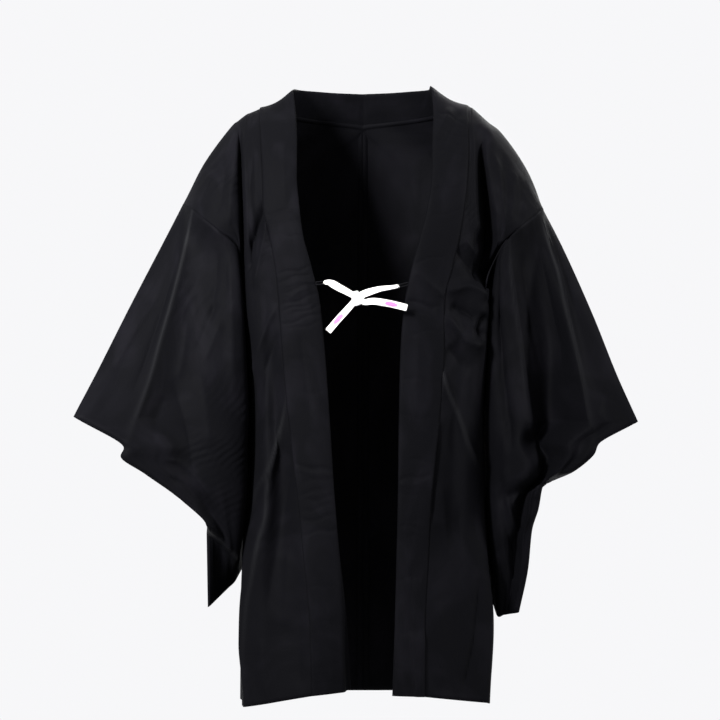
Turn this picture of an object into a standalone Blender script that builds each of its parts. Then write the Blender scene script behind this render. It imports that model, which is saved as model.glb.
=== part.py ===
"""A haori: a straight, open Japanese jacket, as it hangs from a wearer's shoulders.

Metres, +Z up. The front faces -Y and the wearer's right side is at -X. The origin is at the
middle of the shoulder line, between the shoulders, where the neck rises through the collar.
Every piece of cloth is a thin wall. Its middle surface is lofted across guide lines that run
down the cloth: seams, edges and the tops and bottoms of the large folds.
"""

import math
from collections import namedtuple

import bpy
import numpy as np
from mathutils import Vector

MM = 0.001

# ---------------------------------------------------------------- driving sizes, millimetres
SILK = 1.3              # thickness of the doubled silk of body, sleeves and gussets
BAND = 2.4              # thickness of the folded collar band
SEAM_GAP = 0.4          # clear space between two pieces along a seam
GUSSET_GAP = 0.6        # the same beside the gussets, which meet the panels at an angle
ARMHOLE_GAPS = (0.9, 2.0)   # the same along the armhole, at the shoulder and under the arm
TIE_THICKNESS = 2.0
KNOT = (16, 11, 17)     # width, depth and height of the knot
LOOP_CORD = 2.0         # thickness of the cord of the collar loops

# ---------------------------------------------------------------- tables, millimetres
# One row for each level of a body panel's front, from the hem up to the top of the shoulder.
# seam: where the collar is sewn on.   limb: where the front turns back beside the body.
# edge: the panel's outer edge, on the gusset below the arm and on the sleeve seam above it.
# valley, arm: the deep fold beside the chest, and its far side, on the arm.
# trough, ridge: how far the cloth between seam and limb lies back or stands forward.
Level = namedtuple("Level", "name seam limb edge valley arm trough ridge")

FRONT_RIGHT = [
    Level("hem", (-62, -124, -746), (-146, -82, -763), (-152, -8, -765), None, None, 4, 10),
    Level("thigh", (-65, -124, -652), (-149, -84, -657), (-153, -8, -662), None, None, -4, 12),
    Level("hip", (-72, -123, -578), (-145, -90, -580), (-152, -6, -584), None, None, -10, 14),
    Level("low_waist", (-80, -121, -498), (-132, -90, -499), (-142, -4, -502), None, None, -14, 14),
    Level("waist", (-91, -119, -405), (-130, -90, -406), (-140, -2, -407), None, None, -6, 12),
    Level("obi", (-99, -117, -321), (-135, -90, -321), (-144, 0, -321), None, None, 0, 9),
    Level("bust", (-103, -114, -261), (-142, -88, -269), (-149, 3, -278), None, None, 3, 6),
    Level("under_arm", (-108, -110, -214), (-144, -87, -226), (-152, 5, -239), None, None, 2, 4),
    Level("seam_foot", (-115, -106, -176), (-146, -86, -180), (-156, -78, -191),
          (-151, -36, -182), (-153, -77, -184), 0, 4),
    Level("chest", (-123, -98, -139), (-147, -84, -142), (-178, -86, -172),
          (-152, -36, -144), (-154, -80, -148), -2, 5),
    Level("upper_chest", (-124, -87, -101), (-148, -78, -105), (-197, -77, -157),
          (-153, -40, -107), (-157, -76, -112), 0, 4),
    Level("shoulder", (-126, -68, -63), (-149, -65, -68), (-211, -58, -145),
          (-154, -47, -71), (-159, -64, -76), 0, 2),
    Level("yoke", (-128, -38, -31), (-148, -37, -39), (-221, -33, -138),
          (-155, -33, -43), (-163, -37, -51), 0, 0),
    Level("crest", (-129, 5, -13), (-147, 3, -21), (-226, -5, -133),
          (-157, 2, -29), (-167, 1, -38), 0, 0),
]
FRONT_LEFT = [
    Level("hem", (74, -124, -747), (154, -82, -758), (160, -8, -765), None, None, 4, 3),
    Level("thigh", (75, -124, -658), (159, -84, -661), (164, -8, -666), None, None, -2, 4),
    Level("hip", (79, -123, -578), (152, -90, -580), (158, -6, -584), None, None, -4, 6),
    Level("low_waist", (84, -121, -492), (145, -90, -493), (154, -4, -496), None, None, -6, 10),
    Level("waist", (93, -119, -405), (144, -92, -406), (153, -2, -407), None, None, -5, 12),
    Level("obi", (99, -117, -321), (150, -94, -316), (158, 0, -321), None, None, -4, 8),
    Level("bust", (99, -114, -263), (154, -92, -267), (158, 3, -278), None, None, -5, 6),
    Level("under_arm", (109, -110, -217), (143, -88, -223), (155, 5, -239), None, None, 2, 2),
    Level("seam_foot", (118, -106, -180), (147, -88, -182), (177, -86, -183),
          (157, -36, -183), (164, -80, -184), 0, 6),
    Level("chest", (125, -98, -139), (143, -86, -142), (191, -88, -170),
          (155, -36, -143), (162, -82, -147), -2, 5),
    Level("upper_chest", (129, -87, -101), (141, -80, -105), (206, -77, -158),
          (152, -40, -107), (159, -77, -112), 0, 4),
    Level("shoulder", (131, -68, -63), (140, -67, -68), (219, -58, -147),
          (149, -50, -69), (157, -66, -74), 0, 2),
    Level("yoke", (131, -38, -29), (138, -39, -33), (226, -33, -141),
          (146, -36, -37), (154, -39, -44), 0, 0),
    Level("crest", (132, 5, -10), (139, 3, -14), (231, -5, -139),
          (147, 2, -19), (157, 1, -26), 0, 0),
]

# One row for each level of a panel's back, from just behind the shoulder down to the hem, as
# the wearer's right side: the left mirrors it. inner: the neckline, then the centre back seam.
# edge: the sleeve seam, then the gusset. full: how far the cloth between them stands out.
Behind = namedtuple("Behind", "name inner edge full")
BACK = [
    Behind("nape_side", (-106, 50, -20), (-228, 28, -145), 6),
    Behind("nape_turn", (-68, 86, -26), (-222, 52, -168), 9),
    Behind("nape", (-33, 103, -30), (-210, 68, -194), 12),
    Behind("centre", (0, 109, -36), (-194, 74, -220), 16),
    Behind("blade", (0, 121, -100), (-176, 64, -242), 22),
    Behind("under_arm", (0, 129, -180), (-159, 32, -262), 42),
    Behind("back_bust", (0, 137, -250), (-153, 29, -292), 54),
    Behind("back_obi", (0, 148, -325), (-151, 30, -338), 60),
    Behind("back_waist", (0, 158, -410), (-151, 32, -415), 63),
    Behind("back_low", (0, 160, -500), (-152, 37, -505), 64),
    Behind("back_hip", (0, 155, -585), (-154, 43, -587), 62),
    Behind("back_thigh", (0, 149, -672), (-156, 50, -674), 60),
    Behind("back_hem", (0, 145, -761), (-157, 56, -764), 58),
]
# Soft vertical folds of the back: share of the width, from the centre seam outwards.
Fold = namedtuple("Fold", "share width top middle hem")
BACK_FOLDS = [
    Fold(0.30, 0.16, 0, 3, 6),
    Fold(0.55, 0.14, 0, -5, -8),
    Fold(0.80, 0.16, 0, 6, 9),
]

# The collar's inner edge at the same levels as the fronts, then round the back of the neck.
COLLAR_RIGHT = [
    (-10, -104, -741), (-17, -118, -655), (-28, -126, -578), (-35, -127, -498), (-41, -125, -405),
    (-47, -124, -321), (-53, -122, -261), (-64, -119, -214), (-74, -116, -177), (-79, -108, -139),
    (-82, -98, -102), (-82, -79, -64), (-84, -48, -24), (-88, -6, 10),
]
COLLAR_LEFT = [
    (36, -122, -746), (39, -124, -658), (41, -126, -578), (43, -127, -492), (44, -125, -405),
    (46, -124, -321), (51, -122, -263), (60, -119, -218), (70, -116, -180), (80, -108, -139),
    (85, -98, -102), (86, -79, -64), (88, -48, -21), (85, -6, 15),
]
COLLAR_NECK = [(-84, 34, 13), (-65, 66, 13), (-34, 85, 12), (0, 91, 11)]
COLLAR_CROWN = 2.5      # how far the band's middle stands forward of its edges

# A sleeve's edges, from the sleeve seam (0) to the bottom (1).
# outer: the top fold from shoulder to cuff, then the front layer's cuff edge and the sewn edge.
# limb: where the front layer turns back beside the body.   furi: its free inner edge.
At = namedtuple("At", "t point")
CUFF_TIP = 0.52
CUFF_END = 0.80

OUTER_RIGHT = [
    At(0.00, (-226, -5, -133)), At(0.12, (-248, -26, -178)), At(0.30, (-291, -70, -266)),
    At(0.42, (-329, -115, -347)), At(CUFF_TIP, (-355, -152, -401)), At(0.60, (-293, -158, -439)),
    At(0.64, (-297, -160, -449)), At(0.70, (-268, -150, -471)), At(CUFF_END, (-227, -130, -501)),
    At(0.87, (-193, -104, -538)), At(0.90, (-195, -62, -549)), At(1.00, (-194, -50, -641)),
]
LIMB_RIGHT = [
    At(0.00, (-156, -78, -191)), At(0.12, (-153, -88, -232)), At(0.30, (-148, -92, -313)),
    At(CUFF_TIP, (-145, -90, -406)), At(0.70, (-146, -84, -493)), At(CUFF_END, (-150, -72, -541)),
    At(0.87, (-155, -58, -574)), At(0.90, (-158, -32, -583)), At(1.00, (-162, 6, -611)),
]
FURI_RIGHT = [
    At(0.00, (-153, 5, -239)), At(0.12, (-160, 14, -261)), At(0.30, (-163, 26, -319)),
    At(0.70, (-164, 58, -472)), At(1.00, (-146, 104, -584)),
]
OUTER_LEFT = [
    At(0.00, (231, -5, -139)), At(0.12, (250, -26, -188)), At(0.30, (288, -70, -279)),
    At(0.42, (314, -115, -351)), At(CUFF_TIP, (337, -152, -407)), At(0.60, (288, -158, -435)),
    At(0.64, (284, -160, -445)), At(0.70, (259, -146, -468)), At(0.76, (241, -92, -479)),
    At(CUFF_END, (224, -104, -485)), At(0.87, (217, -100, -517)), At(0.90, (210, -84, -543)),
    At(0.95, (206, -68, -590)), At(1.00, (195, -52, -647)),
]
LIMB_LEFT = [
    At(0.00, (177, -86, -183)), At(0.12, (166, -90, -226)), At(0.30, (165, -92, -313)),
    At(CUFF_TIP, (166, -90, -406)), At(0.70, (167, -84, -481)), At(CUFF_END, (168, -76, -526)),
    At(0.90, (171, -62, -576)), At(0.95, (176, -44, -615)), At(1.00, (178, -22, -655)),
]
FURI_LEFT = [
    At(0.00, (156, 5, -239)), At(0.12, (162, 14, -261)), At(0.30, (165, 26, -319)),
    At(0.70, (164, 58, -485)), At(1.00, (151, 104, -602)),
]
# The back layer's own cuff edge, and its free inner edge, as the wearer's right side.
CUFF_BACK_RIGHT = [
    At(CUFF_TIP, (-355, -152, -401)), At(0.60, (-292, -96, -428)), At(0.70, (-260, -82, -463)),
    At(CUFF_END, (-227, -130, -501)),
]
CUFF_BACK_LEFT = [
    At(CUFF_TIP, (337, -152, -407)), At(0.60, (284, -96, -426)), At(0.70, (249, -58, -454)),
    At(CUFF_END, (224, -104, -485)),
]
FURI_BACK = [
    At(0.00, (-161, 34, -262)), At(0.12, (-162, 66, -292)), At(0.30, (-156, 92, -350)),
    At(0.70, (-148, 120, -480)), At(1.00, (-143, 104, -584)),
]

# Folds of a sleeve's front layer: share of the way from outer edge to limb, and how far they
# stand forward (or lie back), each at the seam, above the cuff, at the cuff and at the bottom.
Crease = namedtuple("Crease", "name shares heights")
CREASE_T = (0.0, 0.30, 0.55, 0.72, 1.0)
CREASES_RIGHT = [
    Crease("ridge", (0.22, 0.33, 0.36, 0.30, 0.25), (16, 22, 18, 8, 2)),
    Crease("valley", (0.50, 0.52, 0.52, 0.50, 0.50), (14, 6, -6, -4, 2)),
    Crease("inner", (0.80, 0.80, 0.80, 0.78, 0.75), (10, 16, 16, 14, 3)),
]
CREASES_LEFT = [
    Crease("ridge", (0.22, 0.27, 0.33, 0.24, 0.25), (16, 22, 24, 10, 2)),
    Crease("valley", (0.50, 0.47, 0.58, 0.34, 0.50), (12, -18, -48, -40, 2)),
    Crease("inner", (0.80, 0.77, 0.77, 0.60, 0.70), (10, 18, 20, 16, 3)),
]
FOLD_ROUND = (8, 15, 16, 10, 5)   # half the depth of the rounded top fold, at CREASE_T
BACK_CROWN = (6, 26, 34, 30, 8)   # how far the back layer stands out behind, at CREASE_T

# ---------------------------------------------------------------- curves and lofts


def smooth(knots, values, at):
    """A smooth curve through values at knots that never overshoots them."""
    knots = np.asarray(knots, float)
    values = np.asarray(values, float).reshape(len(knots), -1)
    at = np.atleast_1d(np.asarray(at, float))
    step = np.diff(knots)[:, None]
    slope = np.diff(values, axis=0) / step
    tangent = np.empty_like(values)
    tangent[0], tangent[-1] = slope[0], slope[-1]
    before, after = slope[:-1], slope[1:]
    same = before * after > 0
    total = np.where(same, before + after, 1.0)
    tangent[1:-1] = np.where(same, 2 * before * after / total, 0.0)
    part = np.clip(np.searchsorted(knots, at, side="right") - 1, 0, len(knots) - 2)
    width = step[part]
    s = ((at - knots[part]) / step[part, 0])[:, None]
    low, high = values[part], values[part + 1]
    return ((1 + 2 * s) * (1 - s) ** 2 * low + s * (1 - s) ** 2 * width * tangent[part]
            + s * s * (3 - 2 * s) * high - s * s * (1 - s) * width * tangent[part + 1])


def flowing(knots, points, at):
    """A curve through points with even, rounded turns (Catmull-Rom)."""
    knots = np.asarray(knots, float)
    points = np.asarray(points, float)
    at = np.atleast_1d(np.asarray(at, float))
    tangent = np.gradient(points, knots, axis=0)
    part = np.clip(np.searchsorted(knots, at, side="right") - 1, 0, len(knots) - 2)
    width = (knots[part + 1] - knots[part])[:, None]
    s = (at - knots[part])[:, None] / width
    low, high = points[part], points[part + 1]
    return ((1 + 2 * s) * (1 - s) ** 2 * low + s * (1 - s) ** 2 * width * tangent[part]
            + s * s * (3 - 2 * s) * high - s * s * (1 - s) * width * tangent[part + 1])


def along(table, t):
    """The point at t of an edge given as At rows."""
    return smooth([row.t for row in table], [row.point for row in table], t)


def steps(knots, cuts):
    """Values from the first knot to the last, with cuts[i] even steps between two knots."""
    runs = [np.linspace(a, b, n, endpoint=False)
            for a, b, n in zip(knots[:-1], knots[1:], cuts)]
    return np.append(np.concatenate(runs), knots[-1])


def mirrored(point):
    return (-point[0], point[1], point[2])


def bump(x, centre, width):
    return np.exp(-((x - centre) / width) ** 2)


# ---------------------------------------------------------------- from points to a wall


def material(name, colour, roughness):
    made = bpy.data.materials.new(name)
    made.use_nodes = True
    shader = made.node_tree.nodes["Principled BSDF"]
    shader.inputs["Base Color"].default_value = (*colour, 1)
    shader.inputs["Roughness"].default_value = roughness
    made.diffuse_color = (*colour, 1)
    return made


def wall(name, grids, thickness, finish):
    """A closed wall on one or more grids of points, joined where their points meet."""
    points = []
    faces = []
    index = {}
    for grid in grids:
        rows, columns = grid.shape[:2]
        numbers = np.empty((rows, columns), int)
        for r in range(rows):
            for c in range(columns):
                key = tuple(np.round(grid[r, c], 4))
                if key not in index:
                    index[key] = len(points)
                    points.append(tuple(grid[r, c] * MM))
                numbers[r, c] = index[key]
        for r in range(rows - 1):
            for c in range(columns - 1):
                corners = (numbers[r, c], numbers[r, c + 1],
                           numbers[r + 1, c + 1], numbers[r + 1, c])
                faces.append([n for i, n in enumerate(corners) if n != corners[i - 1]])
    mesh = bpy.data.meshes.new(name)
    mesh.from_pydata(points, [], faces)
    mesh.materials.append(finish)
    mesh.shade_smooth()
    made = bpy.data.objects.new(name, mesh)
    GARMENT.objects.link(made)
    solid = made.modifiers.new("cloth thickness", "SOLIDIFY")
    solid.thickness = thickness * MM
    solid.offset = 0
    return made


# ---------------------------------------------------------------- body panels

FRONT_T = np.linspace(0, 1, len(FRONT_RIGHT))
FRONT_CUTS = (2, 2, 2, 2, 2, 2, 2, 2, 2, 2, 2, 2, 3)
BACK_T = np.linspace(1, 2, len(BACK) + 1)
BACK_CUTS = (2,) * len(BACK)
UNDER_ARM = 7           # the front level at which the sleeve seam ends under the arm
UNDER_ARM_BACK = 6      # the same behind, counted from the crest
# guide lines across a panel: seam, trough, ridge, limb, valley, arm, fullness, edge
GUIDES = (0, 0.12, 0.26, 0.38, 0.52, 0.66, 0.82, 1)
GUIDE_CUTS = (2, 2, 2, 2, 3, 2, 2)
TROUGH_SHARE, RIDGE_SHARE = 0.38, 0.75
SIDE_SHARES = (0.22, 0.48, 0.75)   # guides between limb and edge, below the arm
SIDE_BULGES = (2.0, 2.0, 1.0)      # how far they stand out sideways
ARM_FULLNESS = 4
SHOULDER_ROUND = {"right": (3.5, 3), "left": (5, 3)}   # outwards and upwards, at the crest
YOKE_DEPTH = -70         # the round fades out by this depth
SEAM_FOOT = 8           # the level at which the sleeve seam starts up the arm
NECK_LEVELS = 6          # behind the shoulder, its own shape fades out over so many levels
NECK_FADE = 1.5
SIDE_TURN = 2.6          # how squarely the back turns into the side
BACK_GAIN = 1.9
FOLD_LEVELS = (0, 0.55, 1)   # where a fold's top, middle and hem lie on the way down


def between(a, b, share, forward=0.0):
    point = np.asarray(a, float) * (1 - share) + np.asarray(b, float) * share
    point[1] -= forward
    return point


def front_guides(levels):
    """Points of the eight guide lines at every level: an array of levels by guides."""
    rows = []
    for level in levels:
        seam, limb, edge = (np.asarray(p, float) for p in (level.seam, level.limb, level.edge))
        if level.valley:
            valley, arm = level.valley, level.arm
            full = between(arm, edge, 0.5, ARM_FULLNESS)
            rise = max(0.0, (full[1] - YOKE_DEPTH) / -YOKE_DEPTH)
            outwards, upwards = SHOULDER_ROUND["left" if edge[0] > 0 else "right"]
            full[0] += math.copysign(outwards, edge[0]) * rise
            full[2] += upwards * rise
        else:
            valley, arm, full = (between(limb, edge, share) for share in SIDE_SHARES)
            for point, bulge in zip((valley, arm, full), SIDE_BULGES):
                point[0] += math.copysign(bulge, edge[0])
        rows.append([seam, between(seam, limb, TROUGH_SHARE, level.trough),
                     between(seam, limb, RIDGE_SHARE, level.ridge), limb, valley, arm, full, edge])
    return np.array(rows, float)


def back_guides(crest, mirror):
    """The same eight lines behind the shoulder, between neckline or centre seam and edge."""
    shares = np.array(GUIDES)
    chord = crest[0] + np.outer(shares, crest[-1] - crest[0])
    rows = []
    for number, level in enumerate(BACK):
        inner, edge = (mirrored(p) if mirror else p for p in (level.inner, level.edge))
        inner, edge = np.asarray(inner, float), np.asarray(edge, float)
        row = inner + np.outer(shares, edge - inner)
        fade = max(0.0, 1 - (number + 1) / NECK_LEVELS) ** NECK_FADE
        row += (crest - chord) * fade
        # A full, squarish curve: it leaves the centre flat and turns near the side.
        round_off = shares * (1 - shares ** SIDE_TURN) * BACK_GAIN
        row[:, 1] += level.full * round_off
        down = number / (len(BACK) - 1)
        for fold in BACK_FOLDS:
            height = smooth(FOLD_LEVELS, (fold.top, fold.middle, fold.hem), down)[0, 0]
            row[:, 1] += height * bump(shares, fold.share, fold.width)
        rows.append(row)
    return np.array(rows)


def panel_lines(levels, mirror):
    """Front and back guides of one panel in one run, hem to hem over the shoulder."""
    front = front_guides(levels)
    back = back_guides(front[-1], mirror)
    return np.concatenate([FRONT_T, BACK_T[1:]]), np.concatenate([front, back])


def panel_surface(levels, mirror, t, u):
    """Points of a panel at the lengths t and the widths u."""
    knots, guides = panel_lines(levels, mirror)
    lines = np.stack([smooth(knots, guides[:, g], t) for g in range(guides.shape[1])], axis=1)
    return np.stack([flowing(GUIDES, row, u) for row in lines])


def draw_in(grid, left=0.0, right=0.0, first=0.0, last=0.0):
    """Moves a grid's edges inwards along its own lines, to leave a gap at a seam."""
    def towards(a, b, distance):
        way = b - a
        return a + way / np.maximum(np.linalg.norm(way, axis=-1, keepdims=True), 1e-6) * distance

    if left:
        grid[:, 0] = towards(grid[:, 0], grid[:, 1], left)
    if right:
        grid[:, -1] = towards(grid[:, -1], grid[:, -2], right)
    if first:
        grid[0] = towards(grid[0], grid[1], first)
    if last:
        grid[-1] = towards(grid[-1], grid[-2], last)
    return grid


def body_panel(name, levels, mirror, finish):
    t = np.append(steps(FRONT_T, FRONT_CUTS), steps(BACK_T, BACK_CUTS)[1:])
    u = steps(GUIDES, GUIDE_CUTS)
    grid = panel_surface(levels, mirror, t, u)
    draw_in(grid, left=SEAM_GAP, right=SEAM_GAP)
    if mirror:
        grid = grid[:, ::-1]
    return wall(name, [grid], SILK, finish)


# ---------------------------------------------------------------- gussets

GUSSET_COLUMNS = 3


def gusset(name, levels, mirror, finish):
    """The strip between the front's and the back's side edges."""
    edge = (1.0,)
    front_t = steps(FRONT_T[:UNDER_ARM + 1], FRONT_CUTS[:UNDER_ARM])[::-1]
    back_t = steps(BACK_T[UNDER_ARM_BACK:], BACK_CUTS[UNDER_ARM_BACK:])
    front = panel_surface(levels, mirror, front_t, edge)[:, 0]
    back = panel_surface(levels, mirror, back_t, edge)[:, 0]
    share = np.linspace(0, 1, GUSSET_COLUMNS + 1)[:, None]
    grid = front[:, None] * (1 - share) + back[:, None] * share
    draw_in(grid, left=GUSSET_GAP, right=GUSSET_GAP, first=SEAM_GAP)
    if mirror:
        grid = grid[:, ::-1]
    return wall(name, [grid], SILK, finish)


# ---------------------------------------------------------------- collar

COLLAR_SHARES = (0, 0.1, 0.36, 0.64, 0.9, 1)
NECK_CROWN = 0.2        # the share of the crown left on top of the shoulder and behind
TURN_START = 0.9        # the length at which the band starts to turn over the shoulder
NECK_DIP = 5            # how far the band's middle sinks on top of the shoulder
DIP_LENGTH = 0.09       # and over what share of the front's length


def collar_half(levels, mirror, inner_table):
    """The band from one hem to the centre of the neck, as rows from seam to inner edge."""
    knots, guides = panel_lines(levels, mirror)
    neck = [mirrored(p) if mirror else p for p in COLLAR_NECK]
    inner_knots = np.append(FRONT_T, BACK_T[1:5])
    t = np.append(steps(FRONT_T, FRONT_CUTS), steps(BACK_T[:5], BACK_CUTS[:4])[1:])
    seam = smooth(knots, guides[:, 0], t)
    inner = smooth(inner_knots, list(inner_table) + neck, t)
    rows = []
    for share in COLLAR_SHARES:
        line = seam * (1 - share) + inner * share
        outward = np.column_stack([seam[:, 0] * 0, -np.ones(len(t)), seam[:, 2] * 0])
        over = np.clip((t - TURN_START) / (1 - TURN_START), 0, 1)[:, None]
        neck_out = np.column_stack([line[:, 0], np.maximum(line[:, 1], 0), 0 * t])
        neck_out /= np.maximum(np.linalg.norm(neck_out, axis=1, keepdims=True), 1)
        sunk = np.column_stack([0 * t, 0 * t, -NECK_DIP * np.exp(-((t - 1) / DIP_LENGTH) ** 2)])
        crown = (1 - over * (1 - NECK_CROWN)) * COLLAR_CROWN
        rows.append(line + ((outward * (1 - over) + neck_out * over) * crown + sunk)
                    * 4 * share * (1 - share))
    return np.stack(rows, axis=1)


def collar(finish):
    right = collar_half(FRONT_RIGHT, False, COLLAR_RIGHT)
    left = collar_half(FRONT_LEFT, True, COLLAR_LEFT)
    grid = np.concatenate([right, left[::-1][1:]])
    draw_in(grid, left=SEAM_GAP)
    return wall("collar", [grid[:, ::-1]], BAND, finish)


# ---------------------------------------------------------------- sleeves

SLEEVE_T = steps((0, 0.12, 0.30, 0.42, CUFF_TIP, 0.60, 0.64, 0.70, CUFF_END, 0.87, 0.90, 1),
                 (2, 3, 2, 2, 3, 2, 2, 3, 2, 2, 4))
SLEEVE_U = (0, 0.04, 0.12, 0.28, 0.44, 0.60, 0.72, 0.86, 1)
SLEEVE_CUTS = (1, 1, 2, 2, 2, 2, 2, 2)
ROLL_SHARES = (0.05, 0.15)   # guides that round the top fold of the front layer
ROLL_RISES = (0.75, 1.0)
LIMB_BULGE = 0.15            # how far the turn beside the body bulges towards it
BACK_SHARES = (0, 0.04, 0.12, 0.30, 0.5, 0.7, 0.85, 0.95, 1)   # guides of the back layer
BACK_ROLLS = (0, 0.6, 1, 0, 0, 0, 0, 0, 0)                     # their share of the fold's round
BACK_RISES = (0, 0, 0, 0.75, 1, 0.8, 0.45, 0.15, 0)            # and of the layer's crown
ARMHOLE_POINTS = 24          # points along each half of the armhole
ARMHOLE_DROP = 0.6           # the seam's gap opens downwards by this share too
SEAM_EASE = 0.14             # over this length the sleeve leaves the armhole's own shape
FOOT_SHARE, FOOT_GUIDE = 0.65, 0.72   # the seam's foot, along the armhole and across the sleeve


def armhole(levels, mirror, back):
    """The sleeve's own side of the sleeve seam: shoulder top, seam foot, under the arm."""
    if back:
        t = np.linspace(1, BACK_T[UNDER_ARM_BACK], ARMHOLE_POINTS)
    else:
        t = smooth((0, FOOT_SHARE, 1), (1, FRONT_T[SEAM_FOOT], FRONT_T[UNDER_ARM]),
                   np.linspace(0, 1, ARMHOLE_POINTS))[:, 0]
    line = panel_surface(levels, mirror, t, (1.0,))[:, 0]
    away = np.linspace(*ARMHOLE_GAPS, len(line))
    outward = 1.0 if mirror else -1.0
    return line + np.column_stack([outward * away, 0 * away, -ARMHOLE_DROP * away])


def front_row_guides(t, outer, limb, furi, creases):
    """Control points across the front layer at t, from the outer edge to the furi."""
    o, l, f = (along(table, t)[0] for table in (outer, limb, furi))
    roll = smooth(CREASE_T, FOLD_ROUND, t)[0, 0]
    guides = [o]
    for share, rise in zip(ROLL_SHARES, ROLL_RISES):
        guides.append(between(o, l, share, roll * rise))
    for crease in creases:
        share = smooth(CREASE_T, crease.shares, t)[0, 0]
        height = smooth(CREASE_T, crease.heights, t)[0, 0]
        guides.append(between(o, l, share, height))
    guides.append(l)
    turned = between(l, f, 0.5)
    turned[0] += (l[0] - f[0]) * LIMB_BULGE
    guides.extend([turned, f])
    return guides


def back_row_guides(t, outer, furi):
    o, f = along(outer, t)[0], along(furi, t)[0]
    roll = smooth(CREASE_T, FOLD_ROUND, t)[0, 0]
    crown = smooth(CREASE_T, BACK_CROWN, t)[0, 0]
    return [between(o, f, share, -roll * rolled - crown * risen)
            for share, rolled, risen in zip(BACK_SHARES, BACK_ROLLS, BACK_RISES)]


def sleeve(name, levels, mirror, outer, limb, furi, cuff_back, creases, finish):
    """A bag of two layers, joined at the top fold, below the cuff opening and at the bottom."""
    furi_back = [At(row.t, mirrored(row.point) if mirror else row.point) for row in FURI_BACK]
    outer_back = ([row for row in outer if row.t < CUFF_TIP] + cuff_back
                  + [row for row in outer if row.t > CUFF_END])
    u = steps(SLEEVE_U, SLEEVE_CUTS)
    front = np.stack([flowing(SLEEVE_U, front_row_guides(t, outer, limb, furi, creases), u)
                      for t in SLEEVE_T])
    back = np.stack([flowing(SLEEVE_U, back_row_guides(t, outer_back, furi_back), u)
                     for t in SLEEVE_T])
    # The first rows follow the armhole, and the next ones ease away from it.
    seam_u = (0, FOOT_GUIDE, 1)
    front_seam = armhole(levels, mirror, False)
    back_seam = armhole(levels, mirror, True)
    on_front = smooth(np.linspace(0, 1, len(front_seam)), front_seam,
                      smooth(seam_u, (0, FOOT_SHARE, 1), u)[:, 0])
    on_back = smooth(np.linspace(0, 1, len(back_seam)), back_seam, u)
    for layer, seam in ((front, on_front), (back, on_back)):
        offset = seam - layer[0]
        for row, t in enumerate(SLEEVE_T):
            ease = max(0.0, 1 - t / SEAM_EASE) ** 2
            layer[row] += offset * ease
    # Both layers share the fold, the sewn edge and the bottom.
    closed = (SLEEVE_T <= CUFF_TIP + 1e-9) | (SLEEVE_T >= CUFF_END - 1e-9)
    back[closed, 0] = front[closed, 0]
    back[-1] = front[-1]
    if mirror:
        grids = [front, back[:, ::-1]]
    else:
        grids = [front[:, ::-1], back]
    return wall(name, grids, SILK, finish)


# ---------------------------------------------------------------- loops and ties

# Each tie runs from the loop on its own side, through the knot, to its bare end.
TIE_RIGHT = [(-48, -131, -236), (-41, -135, -236), (-28, -138, -243), (-15, -140, -250)]
TIE_LEFT = [(44, -131, -240), (34, -135, -242), (20, -138, -244), (1, -140, -250)]
TAIL_RIGHT = [(2, -140, -260), (13, -142, -259), (33, -141, -262), (54, -138, -267)]
TAIL_LEFT = [(-13, -140, -262), (-21, -142, -271), (-32, -141, -283), (-43, -138, -296)]
KNOT_CENTRE = (-7, -140, -255)
TIE_WIDTHS = {"tie_right": (4.5, 7.5), "tie_left": (4.5, 8.0),
              "tail_right": (6.5, 7.5), "tail_left": (6.0, 7.0)}
LOOP_LEVEL = -237
LOOP_HEIGHT = 3.2
LOOP_TURN_POINTS = 6    # points round each end of a loop
LOOP_SLOPE = 0.28       # its near end keeps this share of its height clear of the collar
BRAID_SHARES = (-1, -0.5, 0, 0.5, 1)
KNOT_SQUARENESS = 0.8


def ribbon(name, route, finish):
    """A flat woven tie that lies along a route, facing forward."""
    knots = np.linspace(0, 1, len(route))
    at = np.linspace(0, 1, 4 * len(route) - 3)
    line = flowing(knots, route, at)
    way = np.gradient(line, axis=0)
    across = np.cross(way, (0, 1, 0))
    across /= np.linalg.norm(across, axis=1, keepdims=True)
    start, end = TIE_WIDTHS[name]
    half = (start + (end - start) * smooth((0, 0.4, 1), (0, 1, 1), at)) / 2
    grid = np.stack([line + across * half * k for k in BRAID_SHARES], axis=1)
    return wall(name, [grid], TIE_THICKNESS, finish)


def knot(finish):
    bpy.ops.mesh.primitive_uv_sphere_add(segments=16, ring_count=10, radius=0.5 * MM)
    made = bpy.context.object
    made.name = "knot"
    made.data.name = "knot"
    for vertex in made.data.vertices:
        vertex.co = Vector([math.copysign(abs(c / MM * 2) ** KNOT_SQUARENESS, c) * size / 2 * MM
                            for c, size in zip(vertex.co, KNOT)])
    made.location = Vector(KNOT_CENTRE) * MM
    made.data.materials.append(finish)
    made.data.shade_smooth()
    for collection in list(made.users_collection):
        collection.objects.unlink(made)
    GARMENT.objects.link(made)


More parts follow.
